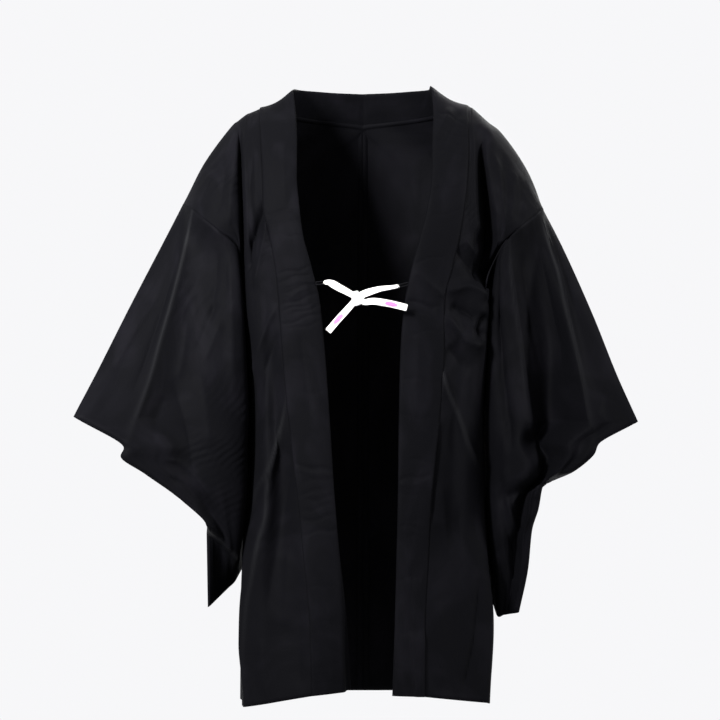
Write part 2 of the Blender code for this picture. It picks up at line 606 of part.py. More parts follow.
def collar_loop(name, levels, mirror, inner_table, tie, finish):
    """The small cord loop sewn to the collar's inner edge, which carries the tie."""
    edge = smooth(FRONT_T, inner_table, np.linspace(0, 1, 400))
    root = edge[np.argmin(np.abs(edge[:, 2] - LOOP_LEVEL) + (edge[:, 1] > -100) * 1000)]
    end = np.asarray(tie[0], float)
    way = end - root
    length = np.linalg.norm(way)
    way /= length
    up = np.array((0, 0, 1.0))
    start = LOOP_CORD / 2 + SEAM_GAP + LOOP_HEIGHT * LOOP_SLOPE
    stop = length - LOOP_CORD / 2 - SEAM_GAP
    points = []
    for centre, first in ((start + LOOP_HEIGHT / 2, 90), (stop - LOOP_HEIGHT / 2, -90)):
        for number in range(LOOP_TURN_POINTS):
            turn = math.radians(first + 180 * number / (LOOP_TURN_POINTS - 1))
            points.append(root + way * (centre + LOOP_HEIGHT / 2 * math.cos(turn))
                          + up * LOOP_HEIGHT / 2 * math.sin(turn))
    curve = bpy.data.curves.new(name, "CURVE")
    curve.dimensions = "3D"
    curve.bevel_depth = LOOP_CORD / 2 * MM
    curve.bevel_resolution = 1
    spline = curve.splines.new("POLY")
    spline.points.add(len(points) - 1)
    for place, point in zip(spline.points, points):
        place.co = (*(point * MM), 1)
    spline.use_cyclic_u = True
    curve.materials.append(finish)
    GARMENT.objects.link(bpy.data.objects.new(name, curve))


# ---------------------------------------------------------------- build


def clear_scene():
    for obj in list(bpy.data.objects):
        bpy.data.objects.remove(obj, do_unlink=True)


clear_scene()
GARMENT = bpy.data.collections.new("haori")
bpy.context.scene.collection.children.link(GARMENT)


def main():
    silk = material("black silk", (0.016, 0.016, 0.019), 0.6)
    band = material("collar silk", (0.018, 0.018, 0.021), 0.6)
    body_panel("body_panel_right", FRONT_RIGHT, False, silk)
    body_panel("body_panel_left", FRONT_LEFT, True, silk)
    gusset("gusset_right", FRONT_RIGHT, False, silk)
    gusset("gusset_left", FRONT_LEFT, True, silk)
    collar(band)
    sleeve("sleeve_right", FRONT_RIGHT, False, OUTER_RIGHT, LIMB_RIGHT, FURI_RIGHT,
           CUFF_BACK_RIGHT, CREASES_RIGHT, silk)
    sleeve("sleeve_left", FRONT_LEFT, True, OUTER_LEFT, LIMB_LEFT, FURI_LEFT,
           CUFF_BACK_LEFT, CREASES_LEFT, silk)
    collar_loop("loop_right", FRONT_RIGHT, False, COLLAR_RIGHT, TIE_RIGHT, silk)
    collar_loop("loop_left", FRONT_LEFT, True, COLLAR_LEFT, TIE_LEFT, silk)
    cord = material("tie braid", (0.85, 0.85, 0.84), 0.55)
    ribbon("tie_right", TIE_RIGHT, cord)
    ribbon("tie_left", TIE_LEFT, cord)
    ribbon("tail_right", TAIL_RIGHT, cord)
    ribbon("tail_left", TAIL_LEFT, cord)
    knot(cord)


main()
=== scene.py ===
"""The finish of a haori around its solids: silk, folded band, braided ties, light and camera.

Laid out as a Blender add-on and run as a script. Lengths in the tables are millimetres, and
each piece is made at the solid that it stands for.
"""

import math
from collections import namedtuple

import bmesh
import bpy
import numpy as np
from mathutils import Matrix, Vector


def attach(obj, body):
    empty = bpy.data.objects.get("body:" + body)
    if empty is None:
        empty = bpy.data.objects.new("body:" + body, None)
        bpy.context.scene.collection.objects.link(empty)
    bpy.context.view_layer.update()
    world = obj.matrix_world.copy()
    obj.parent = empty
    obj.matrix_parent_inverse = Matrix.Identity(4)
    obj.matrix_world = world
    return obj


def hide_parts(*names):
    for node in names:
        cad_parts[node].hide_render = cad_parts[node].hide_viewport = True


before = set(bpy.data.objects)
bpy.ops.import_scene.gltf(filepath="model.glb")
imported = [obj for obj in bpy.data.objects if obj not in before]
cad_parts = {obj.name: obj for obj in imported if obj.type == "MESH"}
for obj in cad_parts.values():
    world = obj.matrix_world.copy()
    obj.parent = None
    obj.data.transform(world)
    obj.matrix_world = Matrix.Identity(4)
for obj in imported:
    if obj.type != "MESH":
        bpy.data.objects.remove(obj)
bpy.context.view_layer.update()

bl_info = {
    "name": "Haori jacket",
    "version": (1, 0, 0),
    "blender": (4, 5, 0),
    "location": "View3D > Sidebar > Haori",
    "description": "Dresses the solids of a haori: silk, collar band, ties and a plain studio",
    "category": "Object",
}

MM = 0.001

# ---------------------------------------------------------------- the shape, as the solids have it

BAND = 2.4              # thickness of the folded collar band

# One row for each level of a body panel's front, from the hem up to the top of the shoulder.
# seam: where the collar is sewn on.   limb: where the front turns back beside the body.
# edge: the panel's outer edge, on the gusset below the arm and on the sleeve seam above it.
# valley, arm: the deep fold beside the chest, and its far side, on the arm.
# trough, ridge: how far the cloth between seam and limb lies back or stands forward.
Level = namedtuple("Level", "name seam limb edge valley arm trough ridge")

FRONT_RIGHT = [
    Level("hem", (-62, -124, -746), (-146, -82, -763), (-152, -8, -765), None, None, 2, 6),
    Level("thigh", (-65, -124, -652), (-149, -84, -657), (-153, -8, -662), None, None, -2, 7),
    Level("hip", (-72, -123, -578), (-145, -90, -580), (-152, -6, -584), None, None, -6, 8),
    Level("low_waist", (-80, -121, -498), (-132, -90, -499), (-142, -4, -502), None, None, -8, 8),
    Level("waist", (-91, -119, -405), (-130, -90, -406), (-140, -2, -407), None, None, -4, 7),
    Level("obi", (-99, -117, -321), (-135, -90, -321), (-144, 0, -321), None, None, 0, 5),
    Level("bust", (-103, -114, -261), (-142, -88, -269), (-149, 3, -278), None, None, 2, 4),
    Level("under_arm", (-108, -110, -214), (-144, -87, -226), (-152, 5, -239), None, None, 1, 2),
    Level("seam_foot", (-115, -106, -176), (-146, -86, -180), (-156, -78, -191),
          (-151, -36, -182), (-153, -77, -184), 0, 2),
    Level("chest", (-123, -98, -139), (-147, -84, -142), (-178, -86, -172),
          (-152, -36, -144), (-154, -80, -148), -1, 3),
    Level("upper_chest", (-124, -87, -101), (-148, -78, -105), (-197, -77, -157),
          (-153, -40, -107), (-157, -76, -112), 0, 2),
    Level("shoulder", (-126, -68, -63), (-149, -65, -68), (-211, -58, -145),
          (-154, -47, -71), (-159, -64, -76), 0, 1),
    Level("yoke", (-128, -38, -31), (-148, -37, -39), (-221, -33, -138),
          (-155, -33, -43), (-163, -37, -51), 0, 0),
    Level("crest", (-129, 5, -13), (-147, 3, -21), (-226, -5, -133),
          (-157, 2, -29), (-167, 1, -38), 0, 0),
]
FRONT_LEFT = [
    Level("hem", (74, -124, -747), (154, -82, -758), (160, -8, -765), None, None, 2, 2),
    Level("thigh", (75, -124, -658), (159, -84, -661), (164, -8, -666), None, None, -1, 2),
    Level("hip", (79, -123, -578), (152, -90, -580), (158, -6, -584), None, None, -2, 4),
    Level("low_waist", (84, -121, -492), (145, -90, -493), (154, -4, -496), None, None, -4, 6),
    Level("waist", (93, -119, -405), (144, -92, -406), (153, -2, -407), None, None, -3, 7),
    Level("obi", (99, -117, -321), (150, -94, -316), (158, 0, -321), None, None, -2, 5),
    Level("bust", (99, -114, -263), (154, -92, -267), (158, 3, -278), None, None, -3, 4),
    Level("under_arm", (109, -110, -217), (143, -88, -223), (155, 5, -239), None, None, 1, 1),
    Level("seam_foot", (118, -106, -180), (147, -88, -182), (177, -86, -183),
          (157, -36, -183), (164, -80, -184), 0, 4),
    Level("chest", (125, -98, -139), (143, -86, -142), (191, -88, -170),
          (155, -36, -143), (162, -82, -147), -1, 3),
    Level("upper_chest", (129, -87, -101), (141, -80, -105), (206, -77, -158),
          (152, -40, -107), (159, -77, -112), 0, 2),
    Level("shoulder", (131, -68, -63), (140, -67, -68), (219, -58, -147),
          (149, -50, -69), (157, -66, -74), 0, 1),
    Level("yoke", (131, -38, -29), (138, -39, -33), (226, -33, -141),
          (154, -36, -41), (168, -39, -56), 0, 0),
    Level("crest", (132, 5, -10), (139, 3, -14), (226, -5, -139),
          (158, 2, -31), (175, 1, -45), 0, 0),
]

# One row for each level of a panel's back, from just behind the shoulder down to the hem, as
# the wearer's right side: the left mirrors it. inner: the neckline, then the centre back seam.
# edge: the sleeve seam, then the gusset. full: how far the cloth between them stands out.
Behind = namedtuple("Behind", "name inner edge full")
BACK = [
    Behind("nape_side", (-106, 50, -20), (-228, 28, -145), 6),
    Behind("nape_turn", (-68, 86, -26), (-222, 52, -168), 9),
    Behind("nape", (-33, 103, -30), (-210, 68, -194), 12),
    Behind("centre", (0, 109, -36), (-194, 74, -220), 16),
    Behind("blade", (0, 121, -100), (-176, 64, -242), 22),
    Behind("under_arm", (0, 129, -180), (-159, 32, -262), 42),
    Behind("back_bust", (0, 137, -250), (-153, 29, -292), 54),
    Behind("back_obi", (0, 148, -325), (-151, 30, -338), 60),
    Behind("back_waist", (0, 158, -410), (-151, 32, -415), 63),
    Behind("back_low", (0, 160, -500), (-152, 37, -505), 64),
    Behind("back_hip", (0, 155, -585), (-154, 43, -587), 62),
    Behind("back_thigh", (0, 149, -672), (-156, 50, -674), 60),
    Behind("back_hem", (0, 145, -761), (-157, 56, -764), 58),
]
# Soft vertical folds of the back: share of the width, from the centre seam outwards.
Fold = namedtuple("Fold", "share width top middle hem")
BACK_FOLDS = [
    Fold(0.30, 0.16, 0, 3, 6),
    Fold(0.55, 0.14, 0, -5, -8),
    Fold(0.80, 0.16, 0, 6, 9),
]

# The collar's inner edge at the same levels as the fronts, then round the back of the neck.
COLLAR_RIGHT = [
    (-10, -104, -741), (-17, -118, -655), (-28, -126, -578), (-35, -127, -498), (-41, -125, -405),
    (-47, -124, -321), (-53, -122, -261), (-64, -119, -214), (-74, -116, -177), (-79, -108, -139),
    (-82, -98, -102), (-82, -79, -64), (-84, -48, -24), (-88, -6, 10),
]
COLLAR_LEFT = [
    (36, -122, -746), (39, -124, -658), (41, -126, -578), (43, -127, -492), (44, -125, -405),
    (46, -124, -321), (51, -122, -263), (60, -119, -218), (70, -116, -180), (80, -108, -139),
    (85, -98, -102), (86, -79, -64), (88, -48, -21), (85, -6, 15),
]
COLLAR_NECK = [(-84, 34, 13), (-65, 66, 13), (-34, 85, 12), (0, 91, 11)]
COLLAR_CROWN = 2.5      # how far the band's middle stands forward of its edges

# A sleeve's edges, from the sleeve seam (0) to the bottom (1).
# outer: the top fold from shoulder to cuff, then the front layer's cuff edge and the sewn edge.
# limb: where the front layer turns back beside the body.   furi: its free inner edge.
At = namedtuple("At", "t point")
CUFF_TIP = 0.52
CUFF_END = 0.80

OUTER_RIGHT = [
    At(0.00, (-226, -5, -133)), At(0.12, (-248, -26, -178)), At(0.30, (-291, -70, -266)),
    At(0.42, (-329, -115, -347)), At(0.514, (-353.6, -150, -398)), At(CUFF_TIP, (-355, -152, -401)),
    At(0.526, (-350, -152.5, -404)), At(0.60, (-293, -158, -439)),
    At(0.64, (-297, -160, -449)), At(0.70, (-268, -150, -471)), At(CUFF_END, (-227, -130, -501)),
    At(0.87, (-193, -104, -538)), At(0.90, (-195, -62, -549)), At(1.00, (-194, -50, -641)),
]
LIMB_RIGHT = [
    At(0.00, (-156, -78, -191)), At(0.12, (-153, -88, -232)), At(0.30, (-148, -92, -313)),
    At(CUFF_TIP, (-145, -90, -406)), At(0.70, (-146, -84, -493)), At(CUFF_END, (-150, -72, -541)),
    At(0.87, (-155, -58, -574)), At(0.90, (-158, -32, -583)), At(1.00, (-162, 6, -611)),
]
FURI_RIGHT = [
    At(0.00, (-153, 5, -239)), At(0.12, (-160, 14, -261)), At(0.30, (-163, 26, -319)),
    At(0.70, (-164, 58, -472)), At(1.00, (-146, 104, -584)),
]
OUTER_LEFT = [
    At(0.00, (226, -5, -139)), At(0.12, (250, -26, -188)), At(0.30, (288, -70, -279)),
    At(0.42, (314, -115, -351)), At(0.514, (335.6, -150, -403.6)), At(CUFF_TIP, (337, -152, -407)),
    At(0.526, (333.3, -152.5, -409)), At(0.60, (288, -158, -435)),
    At(0.64, (284, -160, -445)), At(0.70, (259, -146, -468)), At(0.76, (241, -92, -479)),
    At(CUFF_END, (224, -104, -485)), At(0.87, (217, -100, -517)), At(0.90, (210, -84, -543)),
    At(0.95, (206, -68, -590)), At(1.00, (195, -52, -647)),
]
LIMB_LEFT = [
    At(0.00, (177, -86, -183)), At(0.12, (166, -90, -226)), At(0.30, (160, -80, -313)),
    At(CUFF_TIP, (158, -78, -406)), At(0.70, (160, -76, -481)), At(CUFF_END, (161, -72, -526)),
    At(0.90, (163, -62, -576)), At(0.95, (167, -44, -615)), At(1.00, (169, -22, -653)),
]
FURI_LEFT = [
    At(0.00, (156, 5, -239)), At(0.12, (158, 14, -261)), At(0.30, (156, 26, -319)),
    At(0.50, (152.5, 42, -402)),
    At(0.70, (152, 58, -485)), At(1.00, (148, 104, -602)),
]
# The back layer's own cuff edge, and its free inner edge, as the wearer's right side.
CUFF_BACK_RIGHT = [
    At(CUFF_TIP, (-355, -152, -401)), At(0.526, (-350, -148, -403.5)), At(0.60, (-292, -96, -428)),
    At(0.70, (-260, -82, -463)),
    At(CUFF_END, (-227, -130, -501)),
]
CUFF_BACK_LEFT = [
    At(CUFF_TIP, (337, -152, -407)), At(0.526, (332.8, -148, -409)), At(0.60, (284, -96, -426)),
    At(0.70, (249, -58, -454)),
    At(CUFF_END, (224, -104, -485)),
]
FURI_BACK = [
    At(0.00, (-161, 34, -262)), At(0.12, (-157, 64, -292)), At(0.30, (-156, 92, -350)),
    At(0.70, (-148, 120, -480)), At(1.00, (-143, 104, -584)),
]

# Folds of a sleeve's front layer: share of the way from outer edge to limb, and how far they
# stand forward (or lie back), each at the seam, above the cuff, at the cuff and at the bottom.
Crease = namedtuple("Crease", "name shares heights")
CREASE_T = (0.0, 0.30, 0.55, 0.72, 1.0)
CREASES_RIGHT = [
    Crease("ridge", (0.22, 0.33, 0.36, 0.30, 0.25), (14, 15, 12, 6, 2)),
    Crease("valley", (0.50, 0.52, 0.52, 0.50, 0.50), (13, 9, 2, 0, 2)),
    Crease("inner", (0.80, 0.80, 0.80, 0.78, 0.75), (9, 11, 10, 9, 3)),
]
CREASES_LEFT = [
    Crease("ridge", (0.22, 0.27, 0.33, 0.24, 0.25), (14, 17, 17, 8, 2)),
    Crease("valley", (0.50, 0.47, 0.58, 0.34, 0.50), (12, -10, -38, -31, 2)),
    Crease("inner", (0.80, 0.77, 0.77, 0.60, 0.70), (9, 12, 12, 9, 3)),
]
FOLD_ROUND = (6, 8, 8, 6, 4)      # half the depth of the rounded top fold, at CREASE_T
BACK_CROWN = (6, 26, 34, 30, 8)   # how far the back layer stands out behind, at CREASE_T

# ---------------------------------------------------------------- curves and lofts


def smooth(knots, values, at):
    """A smooth curve through values at knots that never overshoots them."""
    knots = np.asarray(knots, float)
    values = np.asarray(values, float).reshape(len(knots), -1)
    at = np.atleast_1d(np.asarray(at, float))
    step = np.diff(knots)[:, None]
    slope = np.diff(values, axis=0) / step
    tangent = np.empty_like(values)
    tangent[0], tangent[-1] = slope[0], slope[-1]
    before, after = slope[:-1], slope[1:]
    same = before * after > 0
    total = np.where(same, before + after, 1.0)
    tangent[1:-1] = np.where(same, 2 * before * after / total, 0.0)
    part = np.clip(np.searchsorted(knots, at, side="right") - 1, 0, len(knots) - 2)
    width = step[part]
    s = ((at - knots[part]) / step[part, 0])[:, None]
    low, high = values[part], values[part + 1]
    return ((1 + 2 * s) * (1 - s) ** 2 * low + s * (1 - s) ** 2 * width * tangent[part]
            + s * s * (3 - 2 * s) * high - s * s * (1 - s) * width * tangent[part + 1])


def flowing(knots, points, at):
    """A curve through points with even, rounded turns (Catmull-Rom)."""
    knots = np.asarray(knots, float)
    points = np.asarray(points, float)
    at = np.atleast_1d(np.asarray(at, float))
    tangent = np.gradient(points, knots, axis=0)
    part = np.clip(np.searchsorted(knots, at, side="right") - 1, 0, len(knots) - 2)
    width = (knots[part + 1] - knots[part])[:, None]
    s = (at - knots[part])[:, None] / width
    low, high = points[part], points[part + 1]
    return ((1 + 2 * s) * (1 - s) ** 2 * low + s * (1 - s) ** 2 * width * tangent[part]
            + s * s * (3 - 2 * s) * high - s * s * (1 - s) * width * tangent[part + 1])


def along(table, t):
    """The point at t of an edge given as At rows."""
    return smooth([row.t for row in table], [row.point for row in table], t)


def steps(knots, cuts):
    """Values from the first knot to the last, with cuts[i] even steps between two knots."""
    runs = [np.linspace(a, b, n, endpoint=False)
            for a, b, n in zip(knots[:-1], knots[1:], cuts)]
    return np.append(np.concatenate(runs), knots[-1])


def mirrored(point):
    return (-point[0], point[1], point[2])


def bump(x, centre, width):
    return np.exp(-((x - centre) / width) ** 2)



FRONT_T = np.linspace(0, 1, len(FRONT_RIGHT))
BACK_T = np.linspace(1, 2, len(BACK) + 1)
UNDER_ARM = 7           # the front level at which the sleeve seam ends under the arm
UNDER_ARM_BACK = 6      # the same behind, counted from the crest
# guide lines across a panel: seam, trough, ridge, limb, valley, arm, fullness, edge
GUIDES = (0, 0.12, 0.26, 0.38, 0.52, 0.66, 0.82, 1)
TROUGH_SHARE, RIDGE_SHARE = 0.38, 0.75
SIDE_SHARES = (0.22, 0.48, 0.75)   # guides between limb and edge, below the arm
SIDE_BULGES = (2.0, 2.0, 1.0)      # how far they stand out sideways
ARM_FULLNESS = 4
SHOULDER_ROUND = {"right": (3.5, 3), "left": (5, 3)}   # outwards and upwards, at the crest
YOKE_DEPTH = -70         # the round fades out by this depth
SEAM_FOOT = 8           # the level at which the sleeve seam starts up the arm
NECK_LEVELS = 6          # behind the shoulder, its own shape fades out over so many levels
NECK_FADE = 1.5
SIDE_TURN = 2.6          # how squarely the back turns into the side
BACK_GAIN = 1.9
FOLD_LEVELS = (0, 0.55, 1)   # where a fold's top, middle and hem lie on the way down


def between(a, b, share, forward=0.0):
    point = np.asarray(a, float) * (1 - share) + np.asarray(b, float) * share
    point[1] -= forward
    return point


def front_guides(levels):
    """Points of the eight guide lines at every level: an array of levels by guides."""
    rows = []
    for level in levels:
        seam, limb, edge = (np.asarray(p, float) for p in (level.seam, level.limb, level.edge))
        if level.valley:
            valley, arm = level.valley, level.arm
            full = between(arm, edge, 0.5, ARM_FULLNESS)
            rise = max(0.0, (full[1] - YOKE_DEPTH) / -YOKE_DEPTH)
            outwards, upwards = SHOULDER_ROUND["left" if edge[0] > 0 else "right"]
            full[0] += math.copysign(outwards, edge[0]) * rise
            full[2] += upwards * rise
        else:
            valley, arm, full = (between(limb, edge, share) for share in SIDE_SHARES)
            for point, bulge in zip((valley, arm, full), SIDE_BULGES):
                point[0] += math.copysign(bulge, edge[0])
        rows.append([seam, between(seam, limb, TROUGH_SHARE, level.trough),
                     between(seam, limb, RIDGE_SHARE, level.ridge), limb, valley, arm, full, edge])
    return np.array(rows, float)


def back_guides(crest, mirror):
    """The same eight lines behind the shoulder, between neckline or centre seam and edge."""
    shares = np.array(GUIDES)
    chord = crest[0] + np.outer(shares, crest[-1] - crest[0])
    rows = []
    for number, level in enumerate(BACK):
        inner, edge = (mirrored(p) if mirror else p for p in (level.inner, level.edge))
        inner, edge = np.asarray(inner, float), np.asarray(edge, float)
        row = inner + np.outer(shares, edge - inner)
        fade = max(0.0, 1 - (number + 1) / NECK_LEVELS) ** NECK_FADE
        row += (crest - chord) * fade
        # A full, squarish curve: it leaves the centre flat and turns near the side.
        round_off = shares * (1 - shares ** SIDE_TURN) * BACK_GAIN
        row[:, 1] += level.full * round_off
        down = number / (len(BACK) - 1)
        for fold in BACK_FOLDS:
            height = smooth(FOLD_LEVELS, (fold.top, fold.middle, fold.hem), down)[0, 0]
            row[:, 1] += height * bump(shares, fold.share, fold.width)
        rows.append(row)
    return np.array(rows)


def panel_lines(levels, mirror):
    """Front and back guides of one panel in one run, hem to hem over the shoulder."""
    front = front_guides(levels)
    back = back_guides(front[-1], mirror)
    return np.concatenate([FRONT_T, BACK_T[1:]]), np.concatenate([front, back])


def panel_surface(levels, mirror, t, u):
    """Points of a panel at the lengths t and the widths u."""
    knots, guides = panel_lines(levels, mirror)
    lines = np.stack([smooth(knots, guides[:, g], t) for g in range(guides.shape[1])], axis=1)
    return np.stack([flowing(GUIDES, row, u) for row in lines])


NECK_CROWN = 0.2        # the share of the crown left on top of the shoulder and behind
TURN_START = 0.9        # the length at which the band starts to turn over the shoulder
NECK_DIP = 5            # how far the band's middle sinks on top of the shoulder
DIP_LENGTH = 0.09       # and over what share of the front's length
SLEEVE_KNOTS = (0, 0.12, 0.30, 0.42, CUFF_TIP, 0.60, 0.64, 0.70, CUFF_END, 0.87, 0.90, 1)
SLEEVE_U = (0, 0.04, 0.12, 0.28, 0.44, 0.60, 0.72, 0.86, 1)
ROLL_SHARES = (0.05, 0.15)   # guides that round the top fold of the front layer
ROLL_RISES = (0.75, 1.0)
LIMB_BULGE = 0.15            # how far the turn beside the body bulges towards it
BACK_SHARES = (0, 0.04, 0.12, 0.30, 0.5, 0.7, 0.85, 0.95, 1)   # guides of the back layer
BACK_ROLLS = (0, 0.6, 1, 0, 0, 0, 0, 0, 0)                     # their share of the fold's round
BACK_RISES = (0, 0, 0, 0.75, 1, 0.8, 0.45, 0.15, 0)            # and of the layer's crown
ARMHOLE_POINTS = 24          # points along each half of the armhole
ARMHOLE_DROP = 0.6           # the seam's gap opens downwards by this share too
SEAM_EASE = 0.14             # over this length the sleeve leaves the armhole's own shape
FOOT_SHARE, FOOT_GUIDE = 0.65, 0.72   # the seam's foot, along the armhole and across the sleeve


def front_row_guides(t, outer, limb, furi, creases):
    """Control points across the front layer at t, from the outer edge to the furi."""
    o, l, f = (along(table, t)[0] for table in (outer, limb, furi))
    roll = smooth(CREASE_T, FOLD_ROUND, t)[0, 0]
    guides = [o]
    for share, rise in zip(ROLL_SHARES, ROLL_RISES):
        guides.append(between(o, l, share, roll * rise))
    for crease in creases:
        share = smooth(CREASE_T, crease.shares, t)[0, 0]
        height = smooth(CREASE_T, crease.heights, t)[0, 0]
        guides.append(between(o, l, share, height))
    guides.append(l)
    turned = between(l, f, 0.5)
    turned[0] += (l[0] - f[0]) * LIMB_BULGE
    guides.extend([turned, f])
    return guides


def back_row_guides(t, outer, furi):
    o, f = along(outer, t)[0], along(furi, t)[0]
    roll = smooth(CREASE_T, FOLD_ROUND, t)[0, 0]
    crown = smooth(CREASE_T, BACK_CROWN, t)[0, 0]
    return [between(o, f, share, -roll * rolled - crown * risen)
            for share, rolled, risen in zip(BACK_SHARES, BACK_ROLLS, BACK_RISES)]


SEWN_ARMHOLE = (0.3, 0.8)    # the sleeve's first row lies this far outside the panel's edge


def armhole(levels, mirror, back):
    """The sleeve's own side of the sleeve seam: shoulder top, seam foot, under the arm."""
    if back:
        t = np.linspace(1, BACK_T[UNDER_ARM_BACK], ARMHOLE_POINTS)
    else:
        t = smooth((0, FOOT_SHARE, 1), (1, FRONT_T[SEAM_FOOT], FRONT_T[UNDER_ARM]),
                   np.linspace(0, 1, ARMHOLE_POINTS))[:, 0]
    line = panel_surface(levels, mirror, t, (1.0,))[:, 0]
    away = np.linspace(*SEWN_ARMHOLE, len(line))
    outward = 1.0 if mirror else -1.0
    return line + np.column_stack([outward * away, 0 * away, -ARMHOLE_DROP * away])


def sleeve_layers(levels, mirror, outer, limb, furi, cuff_back, creases, t_run, u):
    """The front and the back layer of a sleeve, before its fine folds."""
    furi_back = [At(row.t, mirrored(row.point) if mirror else row.point) for row in FURI_BACK]
    outer_back = ([row for row in outer if row.t < CUFF_TIP] + cuff_back
                  + [row for row in outer if row.t > CUFF_END])
    front = np.stack([flowing(SLEEVE_U, front_row_guides(t, outer, limb, furi, creases), u)
                      for t in t_run])
    back = np.stack([flowing(SLEEVE_U, back_row_guides(t, outer_back, furi_back), u)
                     for t in t_run])
    seam_u = (0, FOOT_GUIDE, 1)
    front_seam = armhole(levels, mirror, False)
    back_seam = armhole(levels, mirror, True)
    on_front = smooth(np.linspace(0, 1, len(front_seam)), front_seam,
                      smooth(seam_u, (0, FOOT_SHARE, 1), u)[:, 0])
    on_back = smooth(np.linspace(0, 1, len(back_seam)), back_seam, u)
    for layer, seam in ((front, on_front), (back, on_back)):
        offset = seam - layer[0]
        for row, t in enumerate(t_run):
            layer[row] += offset * max(0.0, 1 - t / SEAM_EASE) ** 2
    return front, back

# ---------------------------------------------------------------- folds listed one by one

# A pleat runs down a piece along a path of (x, z). It stands forward by its height, or lies
# back if that is negative, and dies away over one width to its left and another to its right.
# shine: how strongly a painted highlight pales the silk along its crest, from 0 to 1.
Pleat = namedtuple("Pleat", "height left right path shine", defaults=(0.0,))
# A step lays all the cloth on the right of its path forward by its depth, over its width.
Step = namedtuple("Step", "depth width path")
# A tuck is a fine crease across the band: its level, height, width, reach and slope.
Tuck = namedtuple("Tuck", "level height width start stop slope")
# A patch of fine ripples: centre, radius, the angle that the ripples run at, spacing, height.
Patch = namedtuple("Patch", "centre radius angle spacing height")

